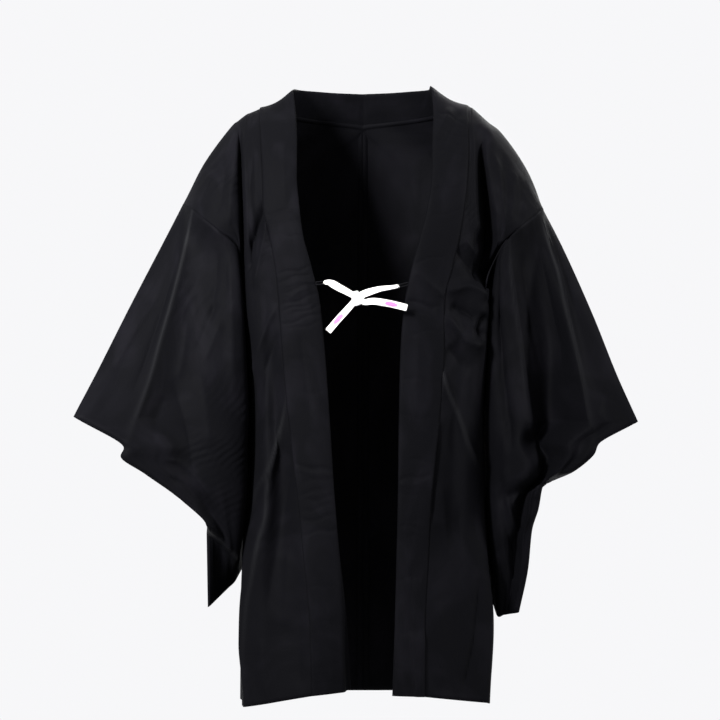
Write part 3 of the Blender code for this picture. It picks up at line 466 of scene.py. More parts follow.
PLEATS = {
    "body_right": [
        Pleat(4.4, 13, 9, [(-93, -371), (-100, -407), (-111, -449), (-118, -483), (-121, -526), (-130, -556),
                           (-139, -604), (-145, -634), (-149, -677), (-150, -702), (-147, -754)], 0.75),
        Pleat(-3.0, 16, 16, [(-89, -418), (-94, -480), (-102, -535), (-111, -591), (-120, -647)]),
        Pleat(2.4, 8, 5, [(-100, -414), (-109, -445), (-118, -469), (-130, -488), (-135, -504), (-137, -523)],
              0.6),
        Pleat(-1.2, 6, 4, [(-113, -492), (-123, -529), (-132, -569)]),
        Pleat(-4.2, 8, 4, [(-97, -378), (-92, -412), (-87, -449), (-80, -492), (-74, -542)]),
        Pleat(4.0, 9, 5, [(-104, -261), (-115, -284), (-126, -313), (-137, -358)]),
        Pleat(-3.2, 6, 7, [(-104, -294), (-113, -321), (-125, -354), (-132, -381)]),
        Pleat(-8.5, 3, 6, [(-125, -133), (-131, -160), (-140, -189), (-147, -226)]),
        Pleat(3.6, 5, 7, [(-118, -151), (-121, -178), (-128, -210), (-135, -245)]),
        Pleat(2.6, 16, 13, [(-92, -564), (-94, -616), (-97, -668)]),
        Pleat(-2.4, 14, 10, [(-78, -628), (-80, -690), (-78, -740)]),
        Pleat(1.6, 8, 8, [(-125, -678), (-124, -715), (-118, -752)]),
        Pleat(-1.5, 6, 6, [(-132, -690), (-134, -721), (-131, -754)]),
        Pleat(1.2, 4, 5, [(-137, -74), (-139, -99), (-141, -128)]),
        Pleat(2.0, 8, 8, [(-184, -94), (-193, -118), (-202, -141)]),
        Pleat(-1.8, 8, 8, [(-170, -84), (-175, -115), (-181, -152)]),
        Pleat(1.6, 6, 6, [(-162, -102), (-165, -133), (-166, -165)]),
    ],
    "body_left": [
        Pleat(4.5, 9, 6, [(124, -180), (135, -193), (147, -203)]),
        Pleat(-3.6, 6, 9, [(108, -188), (119, -201), (131, -216), (150, -235)]),
        Pleat(-12.0, 8, 10, [(153, -165), (147, -189), (145, -212), (152, -237)]),
        Pleat(-9.0, 7, 9, [(155, -274), (146, -292), (152, -306)]),
        Pleat(5.5, 9, 7, [(103, -247), (127, -240), (145, -247), (155, -257)]),
        Pleat(-5.0, 8, 8, [(108, -264), (125, -272), (141, -283)]),
        Pleat(5.5, 9, 7, [(100, -274), (115, -292), (132, -309), (152, -314)]),
        Pleat(-3.0, 9, 9, [(104, -313), (120, -331), (137, -346)]),
        Pleat(5.0, 10, 4.5, [(96, -336), (104, -367), (116, -394), (124, -415), (131, -438),
                             (147, -471)], 0.8),
        Pleat(-4.0, 4, 7, [(95, -406), (92, -449), (88, -490), (84, -535)]),
        Pleat(2.2, 9, 12, [(95, -480), (100, -529), (103, -579)]),
        Pleat(-2.2, 10, 10, [(118, -511), (120, -560), (119, -616)]),
        Pleat(-3.0, 3, 3, [(147, -597), (142, -641), (137, -684), (129, -722), (124, -751)]),
        Pleat(1.4, 6, 7, [(135, -628), (130, -678), (120, -727)]),
        Pleat(2.0, 10, 10, [(93, -628), (95, -678), (95, -740)]),
        Pleat(2.6, 5, 5, [(163, -71), (170, -104), (174, -147), (179, -178)]),
        Pleat(-2.4, 5, 5, [(176, -71), (179, -108), (181, -146)]),
        Pleat(2.4, 5, 5, [(191, -92), (187, -121), (183, -160)]),
        Pleat(-2.0, 6, 6, [(202, -108), (199, -133), (194, -160)]),
        Pleat(2.2, 6, 6, [(152, -71), (155, -108), (153, -152)]),
    ],
    "sleeve_right": [
        Pleat(3.6, 4.5, 7, [(-212, -137), (-215, -153), (-220, -178), (-225, -203), (-236, -251), (-251, -306),
                            (-262, -350), (-274, -387), (-287, -425), (-293, -445)], 1.0),
        Pleat(-2.4, 7, 5, [(-229, -195), (-244, -245), (-256, -288), (-270, -334), (-285, -376)]),
        Pleat(-4.5, 13, 13, [(-236, -354), (-224, -393), (-214, -436), (-210, -486)]),
        Pleat(3.0, 12, 12, [(-202, -346), (-193, -393), (-189, -443)]),
        Pleat(-2.6, 12, 9, [(-244, -375), (-254, -406), (-257, -436)]),
        Pleat(2.0, 10, 10, [(-219, -282), (-222, -319), (-229, -356)]),
        Pleat(-1.6, 8, 8, [(-182, -257), (-194, -288), (-207, -319)]),
        Pleat(1.6, 7, 7, [(-175, -279), (-187, -309), (-197, -334)]),
        Pleat(2.2, 6, 6, [(-250, -453), (-229, -457), (-207, -475), (-189, -504)]),
        Pleat(-2.4, 7, 7, [(-241, -475), (-219, -485), (-202, -504), (-184, -529)]),
        Pleat(2.6, 5, 4, [(-198, -529), (-183, -543), (-170, -558), (-161, -571)]),
        Pleat(2.4, 9, 9, [(-166, -195), (-163, -257), (-162, -319), (-160, -381)]),
        Pleat(-2.0, 9, 9, [(-181, -189), (-184, -238), (-189, -282)]),
        Pleat(1.8, 7, 9, [(-264, -257), (-286, -302), (-308, -341)]),
    ],
    "sleeve_left": [
        Pleat(4.6, 5, 4.5, [(220, -143), (226, -165), (233, -188), (243, -221), (251, -261),
                            (259, -297), (266, -330), (275, -377), (281, -415), (282, -445)], 1.0),
        Pleat(-2.6, 9, 5, [(217, -183), (229, -238), (239, -288), (249, -337)]),
        Pleat(4.4, 6, 6, [(182, -183), (183, -219), (191, -279), (195, -309), (203, -377), (208, -415),
                          (215, -467), (218, -498)], 0.45),
        Pleat(-3.0, 7, 6, [(199, -195), (207, -257), (214, -313)]),
        Pleat(-10.5, 10, 7.5, [(163, -198), (166, -257), (170, -319), (174, -381), (183, -449)]),
        Pleat(2.4, 6, 7, [(168, -257), (172, -331), (174, -406), (178, -480)]),
        Pleat(2.0, 8, 8, [(306, -362), (293, -383), (286, -406)]),
        Pleat(-2.6, 4, 4, [(170, -467), (173, -504), (179, -542), (191, -569), (204, -581)]),
        Pleat(2.8, 4, 5, [(176, -457), (179, -495), (187, -532), (198, -560)]),
        Pleat(-1.8, 4, 4, [(182, -492), (187, -519), (194, -544)]),
        Pleat(2.2, 5, 5, [(172, -529), (176, -566), (184, -601), (197, -618)]),
        Pleat(-2.0, 4, 4, [(167, -560), (172, -597), (181, -628)]),
        Pleat(1.6, 5, 5, [(194, -579), (191, -610), (186, -634)]),
        Pleat(2.6, 5, 5, [(229, -479), (219, -488), (212, -504)]),
    ],
    # Behind, as seen through the jacket from the front.
    "back_right": [
        Pleat(3.2, 12, 9, [(-125, -195), (-118, -294), (-115, -406), (-118, -529)]),
        Pleat(-2.8, 10, 10, [(-90, -257), (-85, -356), (-83, -467), (-78, -579)]),
        Pleat(2.6, 9, 12, [(-63, -406), (-66, -504), (-71, -628), (-78, -740)]),
        Pleat(2.2, 9, 9, [(-160, -96), (-145, -139), (-137, -183)]),
        Pleat(-2.0, 9, 9, [(-167, -133), (-152, -164), (-142, -210)]),
        Pleat(1.8, 10, 10, [(-78, -47), (-103, -96), (-125, -158)]),
    ],
    "back_left": [
        Pleat(3.0, 9, 12, [(122, -189), (118, -294), (114, -418), (118, -554)]),
        Pleat(-2.6, 10, 10, [(88, -269), (83, -381), (80, -492)]),
        Pleat(2.4, 12, 9, [(58, -430), (63, -529), (66, -641), (73, -740)]),
        Pleat(2.2, 9, 9, [(157, -96), (142, -143), (135, -189)]),
        Pleat(-2.0, 8, 8, [(170, -127), (152, -164), (140, -210)]),
        Pleat(1.8, 10, 10, [(75, -49), (100, -99), (122, -163)]),
    ],
    "sleeve_back_right": [
        Pleat(3.4, 9, 9, [(-207, -177), (-224, -245), (-249, -319), (-276, -393)]),
        Pleat(-3.0, 12, 12, [(-184, -220), (-194, -306), (-207, -393), (-217, -467)]),
        Pleat(3.0, 10, 10, [(-167, -257), (-170, -356), (-175, -455), (-182, -554)]),
        Pleat(2.2, 7, 7, [(-193, -569), (-182, -564), (-167, -579)]),
        Pleat(-2.2, 6, 6, [(-189, -594), (-178, -576), (-170, -560)]),
        Pleat(-2.0, 8, 8, [(-241, -257), (-266, -313), (-296, -371)]),
    ],
    "sleeve_back_left": [
        Pleat(3.2, 9, 9, [(217, -183), (234, -257), (259, -331), (286, -399)]),
        Pleat(-3.2, 12, 12, [(189, -220), (199, -313), (212, -393), (221, -461)]),
        Pleat(2.8, 10, 10, [(172, -257), (174, -368), (179, -467), (187, -579)]),
        Pleat(-2.0, 8, 8, [(246, -257), (273, -319), (301, -376)]),
        Pleat(2.0, 6, 6, [(207, -504), (202, -554), (192, -616)]),
    ],
    "collar_right": [
        Pleat(1.8, 7, 2.5, [(-31, -581), (-28, -628), (-27, -684), (-25, -742)]),
        Pleat(1.4, 9, 9, [(-97, -47), (-98, -96), (-95, -141)]),
        Pleat(-1.2, 8, 8, [(-78, -294), (-71, -344), (-63, -406)]),
        Pleat(1.2, 7, 7, [(-90, -257), (-79, -247), (-63, -242)]),
        Pleat(1.3, 6, 6, [(-41, -628), (-40, -678), (-37, -740)]),
    ],
    "collar_left": [
        Pleat(2.2, 5, 8, [(110, -13), (99, -37), (87, -61)]),
        Pleat(-1.6, 6, 5, [(122, -17), (110, -42), (99, -66)]),
        Pleat(2.2, 8, 6, [(62, -217), (75, -232), (90, -245), (99, -257)]),
        Pleat(-1.8, 6, 6, [(53, -257), (70, -262), (90, -272)]),
        Pleat(1.3, 8, 8, [(68, -294), (67, -344), (63, -406)]),
        Pleat(-1.2, 7, 7, [(58, -579), (59, -628), (57, -678)]),
    ],
}
STEPS = {
    "collar_right": [Step(-9.0, 9, [(-29, -579), (-27, -628), (-26, -684), (-24, -743)])],
    "collar_left": [Step(2.8, 1.2, [(56, -663), (59, -696), (63, -750)])],
}
TUCKS = {
    "collar_right": [
        Tuck(-148, -0.9, 2.6, 0.05, 1.0, 3), Tuck(-157, 0.6, 3.4, 0.0, 1.0, 3),
        Tuck(-176, -0.5, 2.2, 0.3, 1.0, -4), Tuck(-221, -0.8, 2.2, 0.1, 1.0, 5),
        Tuck(-229, -0.7, 2.0, 0.0, 0.9, 6), Tuck(-236, 0.5, 2.4, 0.2, 1.0, 4),
        Tuck(-243, -0.8, 1.9, 0.2, 1.0, 7), Tuck(-257, -0.9, 2.2, 0.0, 1.0, 8),
        Tuck(-265, -0.7, 1.9, 0.1, 0.8, 7), Tuck(-272, -0.8, 2.0, 0.3, 1.0, 9),
        Tuck(-281, -0.9, 2.1, 0.0, 1.0, 8), Tuck(-290, -0.6, 2.0, 0.2, 0.9, 6),
        Tuck(-330, -0.4, 3.0, 0.1, 0.8, -3), Tuck(-372, -0.4, 2.6, 0.3, 1.0, 3),
        Tuck(-464, -1.2, 2.4, 0.0, 1.0, -4), Tuck(-471, 0.7, 2.8, 0.0, 1.0, -4),
        Tuck(-480, -0.6, 1.9, 0.2, 1.0, 3), Tuck(-493, -0.8, 2.2, 0.0, 0.8, 5),
        Tuck(-503, -0.7, 1.9, 0.2, 1.0, 4), Tuck(-514, -0.7, 2.0, 0.0, 0.9, 6),
        Tuck(-527, -0.8, 2.2, 0.1, 1.0, 5), Tuck(-543, -0.8, 2.2, 0.0, 1.0, 4),
        Tuck(-610, -0.4, 2.4, 0.0, 0.7, 3), Tuck(-655, -0.4, 2.4, 0.2, 0.8, -3),
        Tuck(-708, -0.5, 2.2, 0.0, 0.7, 3), Tuck(-730, -0.5, 2.2, 0.1, 0.7, 2),
    ],
    "collar_left": [
        Tuck(-28, -0.8, 2.0, 0.1, 0.9, 10), Tuck(-38, -0.7, 2.0, 0.2, 1.0, 9),
        Tuck(-49, -0.8, 2.2, 0.0, 1.0, 8), Tuck(-61, -0.5, 1.9, 0.2, 0.8, 6),
        Tuck(-73, -1.0, 2.4, 0.0, 1.0, 4), Tuck(-84, 0.6, 3.0, 0.0, 1.0, 4),
        Tuck(-118, -0.6, 2.2, 0.2, 1.0, -4), Tuck(-150, -0.5, 2.2, 0.0, 0.8, -5),
        Tuck(-205, -0.5, 2.4, 0.3, 1.0, -6), Tuck(-262, -0.7, 2.2, 0.1, 1.0, 4),
        Tuck(-274, -0.6, 2.0, 0.3, 1.0, 3), Tuck(-297, -0.5, 2.2, 0.0, 0.8, -3),
        Tuck(-356, -0.4, 2.6, 0.0, 1.0, 2), Tuck(-402, -0.4, 2.4, 0.2, 1.0, 2),
        Tuck(-455, -0.8, 2.0, 0.0, 0.7, 3), Tuck(-476, -1.3, 2.3, 0.1, 1.0, -3),
        Tuck(-484, 0.8, 2.8, 0.0, 1.0, -3), Tuck(-498, -0.6, 2.0, 0.3, 1.0, 3),
        Tuck(-529, -0.7, 2.2, 0.0, 0.8, 3), Tuck(-538, -0.8, 2.0, 0.1, 0.9, 4),
        Tuck(-549, -0.6, 2.2, 0.0, 0.7, 3), Tuck(-600, -0.5, 2.2, 0.2, 1.0, -2),
        Tuck(-668, -0.5, 2.2, 0.3, 1.0, 2), Tuck(-712, -0.5, 2.2, 0.0, 1.0, 3),
    ],
}
PATCHES = {
    "sleeve_right": [
        Patch((-163, -387), 34, 62, 9.0, 0.50), Patch((-162, -449), 36, 50, 8.0, 0.55),
        Patch((-167, -504), 30, 38, 8.5, 0.50), Patch((-196, -257), 40, 70, 13.0, 0.35),
        Patch((-264, -257), 32, 60, 11.0, 0.35), Patch((-196, -449), 28, 35, 9.0, 0.35),
    ],
    "sleeve_left": [
        Patch((188, -331), 40, 110, 9.0, 0.35), Patch((184, -480), 32, 125, 8.0, 0.50),
        Patch((293, -331), 34, 120, 11.0, 0.30), Patch((262, -418), 30, 100, 9.0, 0.30),
    ],
    "body_right": [
        Patch((-115, -467), 30, 58, 7.5, 0.45), Patch((-125, -554), 28, 62, 8.5, 0.35),
        Patch((-113, -313), 22, 40, 7.0, 0.35), Patch((-90, -690), 30, 15, 9.0, 0.30),
        Patch((-175, -102), 30, 50, 9.0, 0.35), Patch((-103, -195), 24, 20, 7.0, 0.30),
    ],
    "body_left": [
        Patch((101, -740), 26, 4, 6.0, 0.55), Patch((95, -511), 26, -28, 7.0, 0.50),
        Patch((120, -294), 26, -35, 7.5, 0.40), Patch((127, -628), 30, -70, 9.0, 0.30),
        Patch((188, -121), 28, 115, 8.0, 0.35), Patch((132, -148), 22, 60, 7.0, 0.35),
    ],
}
# Low, long undulations that keep hanging cloth from lying dead flat: length and height.
DRIFT = ((170, 0.55), (100, 0.35), (60, 0.22))


def from_path(flat, path):
    """Each point's distance to the right of a path that runs down, and its share along it."""
    knots = np.linspace(0, 1, len(path))
    path = flowing(knots, path, np.linspace(0, 1, 6 * len(path)))
    ways = np.diff(path, axis=0)
    lengths = np.linalg.norm(ways, axis=1)
    starts = np.concatenate([[0], np.cumsum(lengths)[:-1]])
    nearest = np.full(flat.shape[:-1], np.inf)
    signed = np.zeros_like(nearest)
    share = np.zeros_like(nearest)
    for corner, way, length, start in zip(path, ways, lengths, starts):
        relative = flat - corner
        along_way = np.clip(relative @ way / length ** 2, 0, 1)
        apart = np.linalg.norm(relative - along_way[..., None] * way, axis=-1)
        side = np.sign(way[0] * relative[..., 1] - way[1] * relative[..., 0])
        closer = apart < nearest
        nearest = np.where(closer, apart, nearest)
        signed = np.where(closer, apart * side, signed)
        share = np.where(closer, (start + along_way * length) / lengths.sum(), share)
    return signed, share


def ease(x):
    x = np.clip(x, 0, 1)
    return x * x * (3 - 2 * x)


TAPER = 0.22            # a pleat fades in and out over this share of its length
CRISPNESS = 1.1         # 2 gives a round pleat, and 1 a pressed edge
PLEAT_RISE = 1.25       # height of every pleat, as a share of the tables' heights
PLEAT_WIDTH = 0.8       # and width
TUCK_RISE = 0.70        # height of the collar's small creases, as a share of the table's
PATCH_RISE = 0.75       # and of the crinkles


def folds(grid, name):
    """How far the folds of one face stand out, at each point of a grid."""
    flat = grid[..., [0, 2]]
    height = np.zeros(grid.shape[:2])
    for pleat in PLEATS.get(name, ()):
        signed, share = from_path(flat, pleat.path)
        width = np.where(signed < 0, pleat.left, pleat.right) * PLEAT_WIDTH
        fade = ease(share / TAPER + 0.15) * ease((1 - share) / TAPER + 0.15)
        rise = pleat.height * PLEAT_RISE * fade
        height += rise * np.exp(-np.abs(signed / width) ** CRISPNESS)
    for step in STEPS.get(name, ()):
        signed, share = from_path(flat, step.path)
        height += step.depth * ease(signed / step.width) * ease(share / TAPER)
    for patch in PATCHES.get(name, ()):
        away = flat - np.array(patch.centre)
        angle = math.radians(patch.angle)
        across = away[..., 0] * -math.sin(angle) + away[..., 1] * math.cos(angle)
        along_it = away[..., 0] * math.cos(angle) + away[..., 1] * math.sin(angle)
        wander = 1.4 * np.sin(along_it / (patch.spacing * 0.9)) + 0.9 * np.sin(along_it / 23)
        window = np.exp(-(np.linalg.norm(away, axis=-1) / patch.radius) ** 2)
        ripple = np.sin(math.tau * across / patch.spacing + wander)
        height += PATCH_RISE * patch.height * window * (ripple + 0.4 * np.sin(2.3 * ripple + along_it / 11))
    return height


CREST_HIGHLIGHT_WIDTH = (1.4, 3.2)   # half the width of the painted highlight along a crest, at its ends
CREST_HIGHLIGHT_FADE = 0.8           # how fast a crest's painted highlight fades along its length


def crests(grid, name):
    """How pale each point of a grid is painted by a highlight along the crests of its pleats, from 0 to 1."""
    pale = np.zeros(grid.shape[:2])
    for pleat in PLEATS.get(name, ()):
        if pleat.shine:
            signed, share = from_path(grid[..., [0, 2]], pleat.path)
            fade = ease(share / TAPER + 0.3) * np.clip(1 - share, 0, 1) ** CREST_HIGHLIGHT_FADE
            width = CREST_HIGHLIGHT_WIDTH[0] + (CREST_HIGHLIGHT_WIDTH[1] - CREST_HIGHLIGHT_WIDTH[0]) * share
            pale = np.maximum(pale, pleat.shine * fade * np.exp(-(signed / width) ** 2))
    # The painted highlight is kept only where the cloth lies in front (y below 0).
    return pale * (grid[..., 1] < 0)


def drift(grid, seed):
    """Low undulations over a whole piece."""
    draw = np.random.default_rng(seed)
    height = np.zeros(grid.shape[:2])
    for length, rise in DRIFT:
        for _ in range(3):
            way = draw.normal(size=3)
            way[2] *= 0.45
            way /= np.linalg.norm(way)
            height += rise / 3 * np.sin(math.tau * (grid @ way) / length + draw.uniform(0, 6.3))
    return height


def normals(grid, forwards):
    """Unit normals of a grid. They leave its first rows the way that forwards points."""
    out = np.cross(np.gradient(grid, axis=0), np.gradient(grid, axis=1))
    out /= np.maximum(np.linalg.norm(out, axis=-1, keepdims=True), 1e-9)
    some = out[: len(out) // 3].reshape(-1, 3).mean(axis=0)
    return out if some @ np.array(forwards) > 0 else -out


# ---------------------------------------------------------------- from points to cloth


def arc(grid, axis):
    """Lengths in metres along one axis of a grid, even across the other."""
    step = np.linalg.norm(np.diff(grid, axis=axis), axis=-1).mean(axis=1 - axis)
    return np.concatenate([[0], np.cumsum(step)]) * MM


def mesh_of(name, grids, tables=()):
    """A mesh on one or more grids, joined where points meet, with a UV map in metres.
    tables names the pleats of each grid whose crests get a painted highlight."""
    points = np.concatenate([grid.reshape(-1, 3) for grid in grids])
    _, first, number = np.unique(np.round(points, 3), axis=0, return_index=True,
                                 return_inverse=True)
    number = number.reshape(-1)
    faces = []
    places = []
    start = 0
    for grid in grids:
        rows, columns = grid.shape[:2]
        index = number[start:start + rows * columns].reshape(rows, columns)
        start += rows * columns
        down, across = arc(grid, 0), arc(grid, 1)
        for r in range(rows - 1):
            for c in range(columns - 1):
                face = {}
                for i, j in ((r, c), (r, c + 1), (r + 1, c + 1), (r + 1, c)):
                    face.setdefault(int(index[i, j]), (across[j], down[i]))
                if len(face) > 2:
                    faces.append(list(face))
                    places.extend(face.values())
    mesh = bpy.data.meshes.new(name)
    mesh.from_pydata((points[first] * MM).tolist(), [], faces)
    layer = mesh.uv_layers.new(name="cloth")
    layer.data.foreach_set("uv", np.array(places, np.float32).reshape(-1))
    # The crest attribute holds the painted highlight along the pleats' crests.
    if tables:
        pale = np.concatenate([crests(grid, table).reshape(-1)
                               for grid, table in zip(grids, tables)])
        marks = mesh.attributes.new("crest", "FLOAT", "POINT")
        marks.data.foreach_set("value", pale[first].astype(np.float32))
    mesh.shade_smooth()
    return mesh


def outwards(mesh):
    """Turns every face of a closed mesh outwards."""
    shell = bmesh.new()
    shell.from_mesh(mesh)
    bmesh.ops.recalc_face_normals(shell, faces=shell.faces)
    shell.to_mesh(mesh)
    shell.free()


def piece_of(name, mesh, material):
    mesh.materials.append(material)
    piece = bpy.data.objects.new(name, mesh)
    bpy.context.scene.collection.objects.link(piece)
    return piece


def cloth(name, grids, thickness, material, tables=()):
    """A thin closed piece of cloth, with its points on the middle of its wall."""
    piece = piece_of(name, mesh_of(name, grids, tables), material)
    wall = piece.modifiers.new("thickness", "SOLIDIFY")
    wall.thickness = thickness
    wall.offset = 0
    return piece


def tucked(grid, out, side, reach, depth):
    """Adds a column that runs on under the neighbouring piece, as a seam allowance does."""
    edge, inner = (grid[:, 0], grid[:, 1]) if side == "first" else (grid[:, -1], grid[:, -2])
    edge_out = out[:, 0] if side == "first" else out[:, -1]
    way = edge - inner
    way /= np.maximum(np.linalg.norm(way, axis=1, keepdims=True), 1e-6)
    dip = edge + way * 0.5 - edge_out * depth * 0.7
    under = edge + way * reach - edge_out * depth
    extra = np.stack([under, dip] if side == "first" else [dip, under], axis=1)
    parts = [extra, grid] if side == "first" else [grid, extra]
    return np.concatenate(parts, axis=1)


# ---------------------------------------------------------------- surfaces of the pieces

ROW = 3.0               # about the distance between two rows of points
FRONT_ROWS = 18         # rows between two levels of the front
BACK_ROWS = 16          # the same behind
PANEL_COLUMNS = (12, 12, 11, 12, 12, 11, 11)
EDGE_SHARES = (0.004, 0.012, 0.026)   # extra columns that shape the roll beside a seam
SEAM_DIP = 2.0          # how far cloth sinks into a seam
SEAM_ROLL = 1.25        # and over what distance


def with_edges(shares):
    """Adds close steps beside both ends of a run from 0 to 1."""
    edges = np.array(EDGE_SHARES)
    return np.unique(np.round(np.concatenate([shares, edges, 1 - edges]), 6))


def edge_dip(grid, sides):
    """Sinks the cloth softly beside its seams."""
    step = np.linalg.norm(np.diff(grid, axis=1), axis=-1)
    reach = np.concatenate([np.zeros((len(grid), 1)), np.cumsum(step, axis=1)], axis=1)
    dip = np.zeros(grid.shape[:2])
    if "first" in sides:
        dip += np.exp(-(reach / SEAM_ROLL) ** 2)
    if "last" in sides:
        dip += np.exp(-((reach[:, -1:] - reach) / SEAM_ROLL) ** 2)
    return -SEAM_DIP * dip


def panel_t():
    front = steps(FRONT_T, (FRONT_ROWS,) * (len(FRONT_T) - 1))
    back = steps(BACK_T, (BACK_ROWS,) * (len(BACK_T) - 1))
    return np.append(front, back[1:])


def panel_grid(levels, mirror, side):
    """A body panel from hem to hem over the shoulder, with its folds and seam allowances."""
    t = panel_t()
    u = with_edges(steps(GUIDES, PANEL_COLUMNS))
    grid = panel_surface(levels, mirror, t, u)
    out = normals(grid, (0, -1, 0))
    facing = ease(-out[..., 1] * 2.2) * ease((1.02 - t[:, None]) * 14)
    away = ease(out[..., 1] * 2.2) * ease((t[:, None] - 1.0) * 10)
    height = folds(grid, "body_" + side) * facing + folds(grid, "back_" + side) * away
    height += drift(grid, 3 if mirror else 4) * ease(np.minimum(u, 1 - u) * 12)[None]
    dip = edge_dip(grid, ("first", "last")) * ease(np.abs(out[..., 1]) * 1.6)
    neck = ease((t[:, None] - 0.99) * 25) * (u < 0.5)
    dip = dip * (1 - 0.8 * neck)
    grid = grid + out * (height + dip)[..., None]
    out = normals(grid, (0, -1, 0))
    # Under the band in front and at the neck, and into the seam at the centre of the back.
    grid = tucked(grid, out, "first", 3.5 + 4.5 * neck[:, :1], 1.5 - 0.9 * neck[:, :1])
    out = np.concatenate([out[:, :1], out[:, :1], out], axis=1)
    return tucked(grid, out, "last", 2.5, 1.1)


def gusset_grid(levels, mirror):
    edge = (1.0,)
    front_t = steps(FRONT_T[:UNDER_ARM + 1], (FRONT_ROWS,) * UNDER_ARM)[::-1]
    levels_back = len(BACK_T) - 1 - UNDER_ARM_BACK
    back_t = steps(BACK_T[UNDER_ARM_BACK:], (FRONT_ROWS,) * levels_back)
    front = panel_surface(levels, mirror, front_t, edge)[:, 0]
    back = panel_surface(levels, mirror, back_t, edge)[:, 0]
    share = with_edges(np.linspace(0, 1, 15))[:, None]
    grid = front[:, None] * (1 - share) + back[:, None] * share
    out = normals(grid, (1 if mirror else -1, 0, 0))
    hang = 2.0 * np.sin(math.pi * share[:, 0]) ** 2 * np.linspace(0, 1, len(grid))[:, None]
    return grid + out * (edge_dip(grid, ("first", "last")) - hang)[..., None]


BAND_COLUMNS = 26
BAND_EDGE = 0.16        # share of the band's width over which its folded edges round off
BAND_LAP = 1.4          # how far the band stands over the panel at its seam
BAND_LIFT = 0.9


def band_half(levels, mirror, inner_table, side):
    """Middle points and normals of half the band, from one hem to the centre of the neck."""
    _, guides = panel_lines(levels, mirror)
    knots, _ = panel_lines(levels, mirror)
    neck = [mirrored(p) if mirror else p for p in COLLAR_NECK]
    inner_knots = np.append(FRONT_T, BACK_T[1:5])
    rows = steps(FRONT_T, (38,) * (len(FRONT_T) - 1))
    t = np.append(rows, steps(BACK_T[:5], (14,) * 4)[1:])
    seam = smooth(knots, guides[:, 0], t)
    inner = smooth(inner_knots, list(inner_table) + neck, t)
    share = np.linspace(0, 1, BAND_COLUMNS)
    over = np.clip((t - TURN_START) / (1 - TURN_START), 0, 1)[:, None, None]
    line = seam[:, None] * (1 - share[:, None]) + inner[:, None] * share[:, None]
    neck_out = line * (1, 1, 0)
    neck_out[..., 1] = np.maximum(neck_out[..., 1], 0)
    neck_out /= np.maximum(np.linalg.norm(neck_out, axis=2, keepdims=True), 1)
    ahead = np.array((0, -1, 0)) * (1 - over) + neck_out * over
    bulge = (1 - over * (1 - NECK_CROWN)) * COLLAR_CROWN * 4 * (share * (1 - share))[:, None]
    dip = np.exp(-((t - 1) / DIP_LENGTH) ** 2)[:, None] * 4 * share * (1 - share)
    grid = line + ahead * bulge - np.array((0, 0, NECK_DIP)) * dip[..., None]
    out = normals(grid, (0, -1, 0))
    height = folds(grid, side) * ease((1.0 - t[:, None]) * 30)
    for tuck in TUCKS[side]:
        level = tuck.level + tuck.slope * (share - 0.5) * 2
        window = ease((share - tuck.start) * 7 + 0.5) * ease((tuck.stop - share) * 7 + 0.5)
        wave = 1.6 * np.sin(share * 9 + tuck.level)
        near = np.exp(-((grid[..., 2] - level - wave) / tuck.width) ** 2)
        height += TUCK_RISE * tuck.height * near * window * (t[:, None] < 1.02)
    # Fine creases that no table names, where the band turns round the neck.
    turn = ease((t[:, None] - 0.96) * 30)
    height += turn * 0.12 * np.sin(t[:, None] * 300 + 2 * np.sin(share * 5))
    height += drift(grid, 8 if mirror else 9) * 0.35
    lap = (share[None] < 0.5) * (1 - share[None] * 2)
    height = height + BAND_LIFT * lap
    return grid + out * height[..., None], out


def band_grid():
    """The whole band as a closed shell with softly folded edges, back face after front face."""
    right, right_out = band_half(FRONT_RIGHT, False, COLLAR_RIGHT, "collar_right")
    left, left_out = band_half(FRONT_LEFT, True, COLLAR_LEFT, "collar_left")
    middle = np.concatenate([right, left[::-1][1:]])
    out = np.concatenate([right_out, left_out[::-1][1:]])
    way = middle[:, 0] - middle[:, 1]
    way /= np.linalg.norm(way, axis=1, keepdims=True)
    middle = middle + way[:, None] * BAND_LAP * np.linspace(1, 0, BAND_COLUMNS)[:, None]
    share = np.linspace(0, 1, BAND_COLUMNS)
    from_edge = np.clip(np.minimum(share, 1 - share) / BAND_EDGE, 0, 1)
    half = BAND / 2 * np.sqrt(1 - (1 - from_edge) ** 2)
    face = middle + out * half[:, None]
    back = middle - out * half[:, None]
    return np.concatenate([face, back[:, ::-1][:, 1:]], axis=1)


def band_mesh(name):
    """The band as a closed mesh, with its two hem ends capped."""
    grid = band_grid()
    columns = grid.shape[1]
    half = columns // 2
    ends = [np.stack([row[:half + 1], row[half:][::-1]]) for row in (grid[0], grid[-1])]
    mesh = mesh_of(name, [grid] + ends)
    outwards(mesh)
    return mesh


SEAM_ROWS = (0.0012, 0.0025, 0.004, 0.008)   # extra rows of a sleeve, close to its seam
SLEEVE_ROWS = (20, 28, 19, 17, 17, 9, 9, 16, 12, 9, 16)
SLEEVE_COLUMNS = (5, 9, 20, 20, 19, 13, 12, 11)


